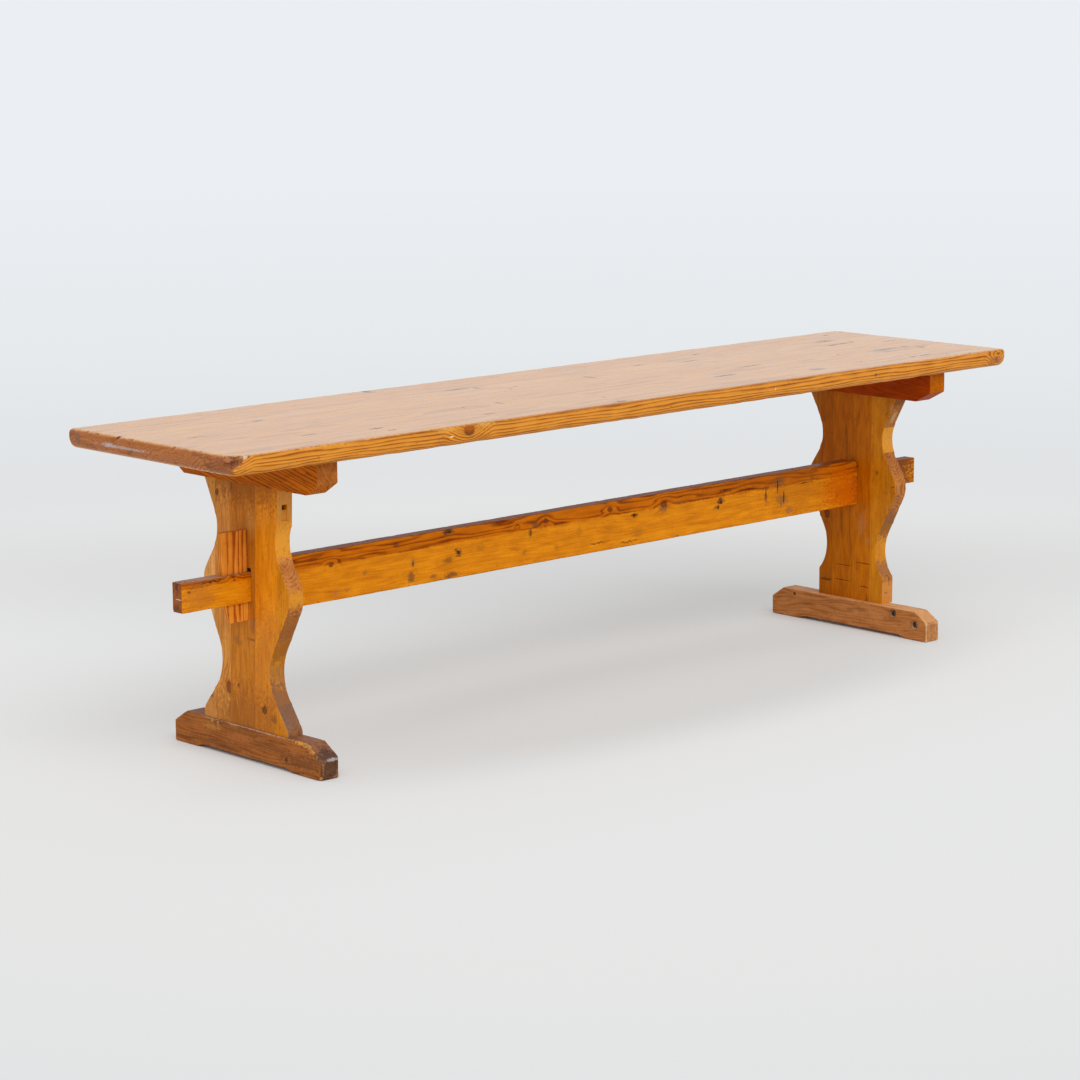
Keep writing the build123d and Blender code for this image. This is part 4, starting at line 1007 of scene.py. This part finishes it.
for number in range(1, 5):
    name = f"seat_board_{number}"
    low, high = limits(name)
    x = stations(low[0], high[0], 5.0, (), (SEAT_CORNERS[0], *SEAT_END_ARRISES))
    left_end = np.arange(low[0], low[0] + CHIPPED_ENDS[0], CHIPPED_STEP)
    right_end = np.arange(high[0] - CHIPPED_ENDS[1], high[0], CHIPPED_STEP)
    x = np.unique(np.concatenate([x, left_end, right_end]))
    outer = (number == 1, number == 4)  # whether its front and its back are the seat's own
    arrises = [SEAT_BOTTOM_ARRIS * bare for bare in outer] + [SEAT_BOTTOM_ARRIS, SEAT_TOP_ARRIS]
    corners = [corner * bare for corner, bare in zip(SEAT_CORNERS, outer)]
    board = timber(f"{name}_wood", "XYZ", x, (low[1], high[1]), (low[2], high[2]), arrises,
                   ends=(*corners, *SEAT_END_ARRISES), wear=(1.2, 2.5), seed=101, step=4.0,
                   chips=SEAT_CHIPS)
    early, late, pith, ring, top_tones = BOARD_TONES[number - 1]
    knots = [knot for knot in SEAT_KNOTS if low[1] - 1 <= knot[0][1] <= high[1] + 1]
    blotches = [stain for stain in SEAT_STAINS
              if low[1] - stain[1][1] - 6 <= stain[0][1] <= high[1] + stain[1][1] + 6]
    cracks = [((x, y, SEAT_TOP), (long, wide, TOP_DEPTH)) for x, y, long, wide in SEAT_CRACKS
              if low[1] - 4 <= y <= high[1] + 4]
    pine = lacquered_pine(
        f"satin_pine_seat_{number}", 0, pith, ring, early, late, 0.95, wander=9.0, knots=knots,
        blotches=blotches, cracks=cracks, faces=[(UP, *top_tones, 0.92)], end=("#B87244", "#945830"),
        roughness=0.2, gloss=0.08, polish=(UP, 0.38), relief=0.06, bare=("#A8663C", 0.35),
        dirt="#6A4630", dirty=0.12, cracked=0.6, mottle=0.4)
    dress(board, pine, "bench", name)


# ---- Hidden fixings ----
# Beech dowels and tongues, which are fine-grained and pinkish, and slotted steel screws that have gone
# dull and brown. They keep their CAD shapes.
beech = lacquered_pine("planed_beech", 2, (0.0, 400.0, 0.0), 1.6, "#C89A6C", "#B08050", 0.5, wander=10.0,
                       end=("#B88858", "#A07448"), dirty=0.1, cracked=0.0, specks=0.2, roughness=0.55)
steel = bpy.data.materials.new("dulled_steel")
tree = blank_tree(steel)
place = add(tree, "TexCoord", {}, out="Object")
rust = add(tree, "TexNoise", {"Vector": place, "Scale": 1 / (2.5 * MM), "Detail": 4.0})
tone = add(tree, "ValToRGB", {0: rust}, stops=[(0.35, linear("#6E6862")), (0.62, linear("#4A3426"))])
dull = add(tree, "MapRange", {0: rust, 1: 0.3, 2: 0.7, 3: 0.35, 4: 0.7})
pitted = add(tree, "Bump", {"Height": rust, "Distance": 0.1 * MM})
shader = add(tree, "BsdfPrincipled", {
    "Base Color": tone, "Roughness": dull, "Normal": pitted, "Metallic": 1.0,
})
add(tree, "OutputMaterial", {"Surface": shader})
for name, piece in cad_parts.items():
    if piece.hide_render:
        continue
    piece.data.materials.clear()
    piece.data.materials.append(steel if "screws" in name else beech)


# ---- Floor and light ----
# A matt paper floor that pales on its way to the horizon, with two grey patches of painted shadow, one
# under the bench and one behind it. Part of what the camera sees of it shines by itself, so that the
# bench's shadow stays as soft as on a studio sweep; where the bench is close above, less of it shines.
PAINTED_SHADOWS = (  # middle, turn, spread, where it is greyest and where it ends, tone left over
    ((0.05, -0.09, 0.0), 0.0, (0.83, 0.27, 1.0), 0.45, 1.1, 0.86),
    ((0.60, 0.64, 0.0), -43.0, (1.5, 0.62, 1.0), 0.15, 1.15, 0.875),
)
FLOOR_REACH = 90.0
FLOOR_DROP = 0.4 * MM  # so that the floor doesn't coincide with the undersides of the feet
paper = bpy.data.materials.new("matt_paper_floor")
tree = blank_tree(paper)
place = add(tree, "TexCoord", {}, out="Object")
distance = add(tree, "VectorMath LENGTH", {0: place})
reach = add(tree, "Math MULTIPLY", {0: distance, 1: 1 / 10})
paper_colour = add(tree, "ValToRGB", {0: reach}, stops=[  # at tens of metres from the bench
    (0.0, linear("#E6E8E8")), (0.06, linear("#E5E7E7")), (0.13, linear("#E4E5E4")),
    (0.20, linear("#DFE1E3")), (0.40, linear("#E4E8EB")), (1.0, linear("#E9EDF1")),
])
# each patch darkens the floor as a painted shadow of the bench
for spot, turn, spread, core, edge, left_over in PAINTED_SHADOWS:
    painted_shadow = add(tree, "Mapping", {0: place, "Location": spot, "Rotation": (0.0, 0.0, math.radians(turn)),
                                    "Scale": spread}, vector_type="TEXTURE")
    painted_shadow = add(tree, "VectorMath LENGTH", {0: painted_shadow})
    painted_shadow = add(tree, "MapRange SMOOTHSTEP", {0: painted_shadow, 1: core, 2: edge, 3: left_over, 4: 1.0})
    paper_colour = add(tree, "VectorMath SCALE", {0: paper_colour, "Scale": painted_shadow})
lit = add(tree, "BsdfDiffuse", {"Color": paper_colour})
shine = add(tree, "Emission", {"Color": paper_colour})
rays = add(tree, "LightPath", {}, out="Is Camera Ray")
open_air = add(tree, "AmbientOcclusion", {"Distance": 0.04}, out="AO", samples=2)
open_air = add(tree, "MapRange", {0: open_air, 1: 0.3, 2: 0.8, 4: 0.45})
share = add(tree, "Math MULTIPLY", {0: rays, 1: open_air})
mixed = add(tree, "MixShader", {0: share, 1: lit, 2: shine})
add(tree, "OutputMaterial", {"Surface": mixed})
rings = np.concatenate([[0.0], np.geomspace(0.2, FLOOR_REACH, 40)])[:, None]
turns = np.linspace(0, 2 * math.pi, 97)
x, y = rings * np.cos(turns), rings * np.sin(turns)
sheet = np.stack([x, y, np.full(x.shape, -FLOOR_DROP)], -1)
mesh = bpy.data.meshes.new("floor")
mesh.from_pydata(sheet.reshape(-1, 3), [], grid_faces(np.arange(x.size).reshape(x.shape)))
floor = stand("floor", mesh)
floor.data.materials.append(paper)

world = bpy.data.worlds.new("studio")
bpy.context.scene.world = world
tree = blank_tree(world)
seen = add(tree, "LightPath", {}, out="Is Camera Ray")
rays = seen.node.outputs
for ray in ("Is Glossy Ray", "Is Transmission Ray"):
    seen = add(tree, "Math MAXIMUM", {0: seen, 1: rays[ray]})
lit = add(tree, "Background", {"Color": linear("#FFFFFF"), "Strength": 0.62})
shown = add(tree, "Background", {"Color": linear("#EAEDF1"), "Strength": 1.0})
mixed = add(tree, "MixShader", {0: seen, 1: lit, 2: shown})
add(tree, "OutputWorld", {"Surface": mixed})

SUN_FROM = (-0.25, -0.62, 0.74)  # a wide softbox at the front left
lamp = bpy.data.lights.new("softbox", "SUN")
lamp.energy = 1.75
lamp.angle = math.radians(55)
sun = stand("softbox", lamp)
sun.rotation_euler = Vector(SUN_FROM).to_track_quat("Z", "Y").to_euler()


# ---- Camera ----
# It stands a metre up and almost four metres off the front left corner of the seat, and looks down on
# the bench a little through a long lens.
CAMERA_PLACE = (-3079.9, -3202.7, 1041.6)
CAMERA_YAW = math.radians(43.19)
CAMERA_PITCH = math.radians(10.52)
CAMERA_ROLL = math.radians(-0.36)
camera_data = bpy.data.cameras.new("camera")
camera_data.sensor_width = 36.0
camera_data.lens = 105.175
camera_data.clip_end = 200.0
camera = stand("camera", camera_data)
camera.matrix_world = (
    Matrix.Translation([value * MM for value in CAMERA_PLACE])
    @ Matrix.Rotation(-CAMERA_YAW, 4, "Z")
    @ Matrix.Rotation(math.pi / 2 - CAMERA_PITCH, 4, "X")
    @ Matrix.Rotation(CAMERA_ROLL, 4, "Z")
)
bpy.context.scene.camera = camera
bpy.context.scene.view_settings.view_transform = "Standard"
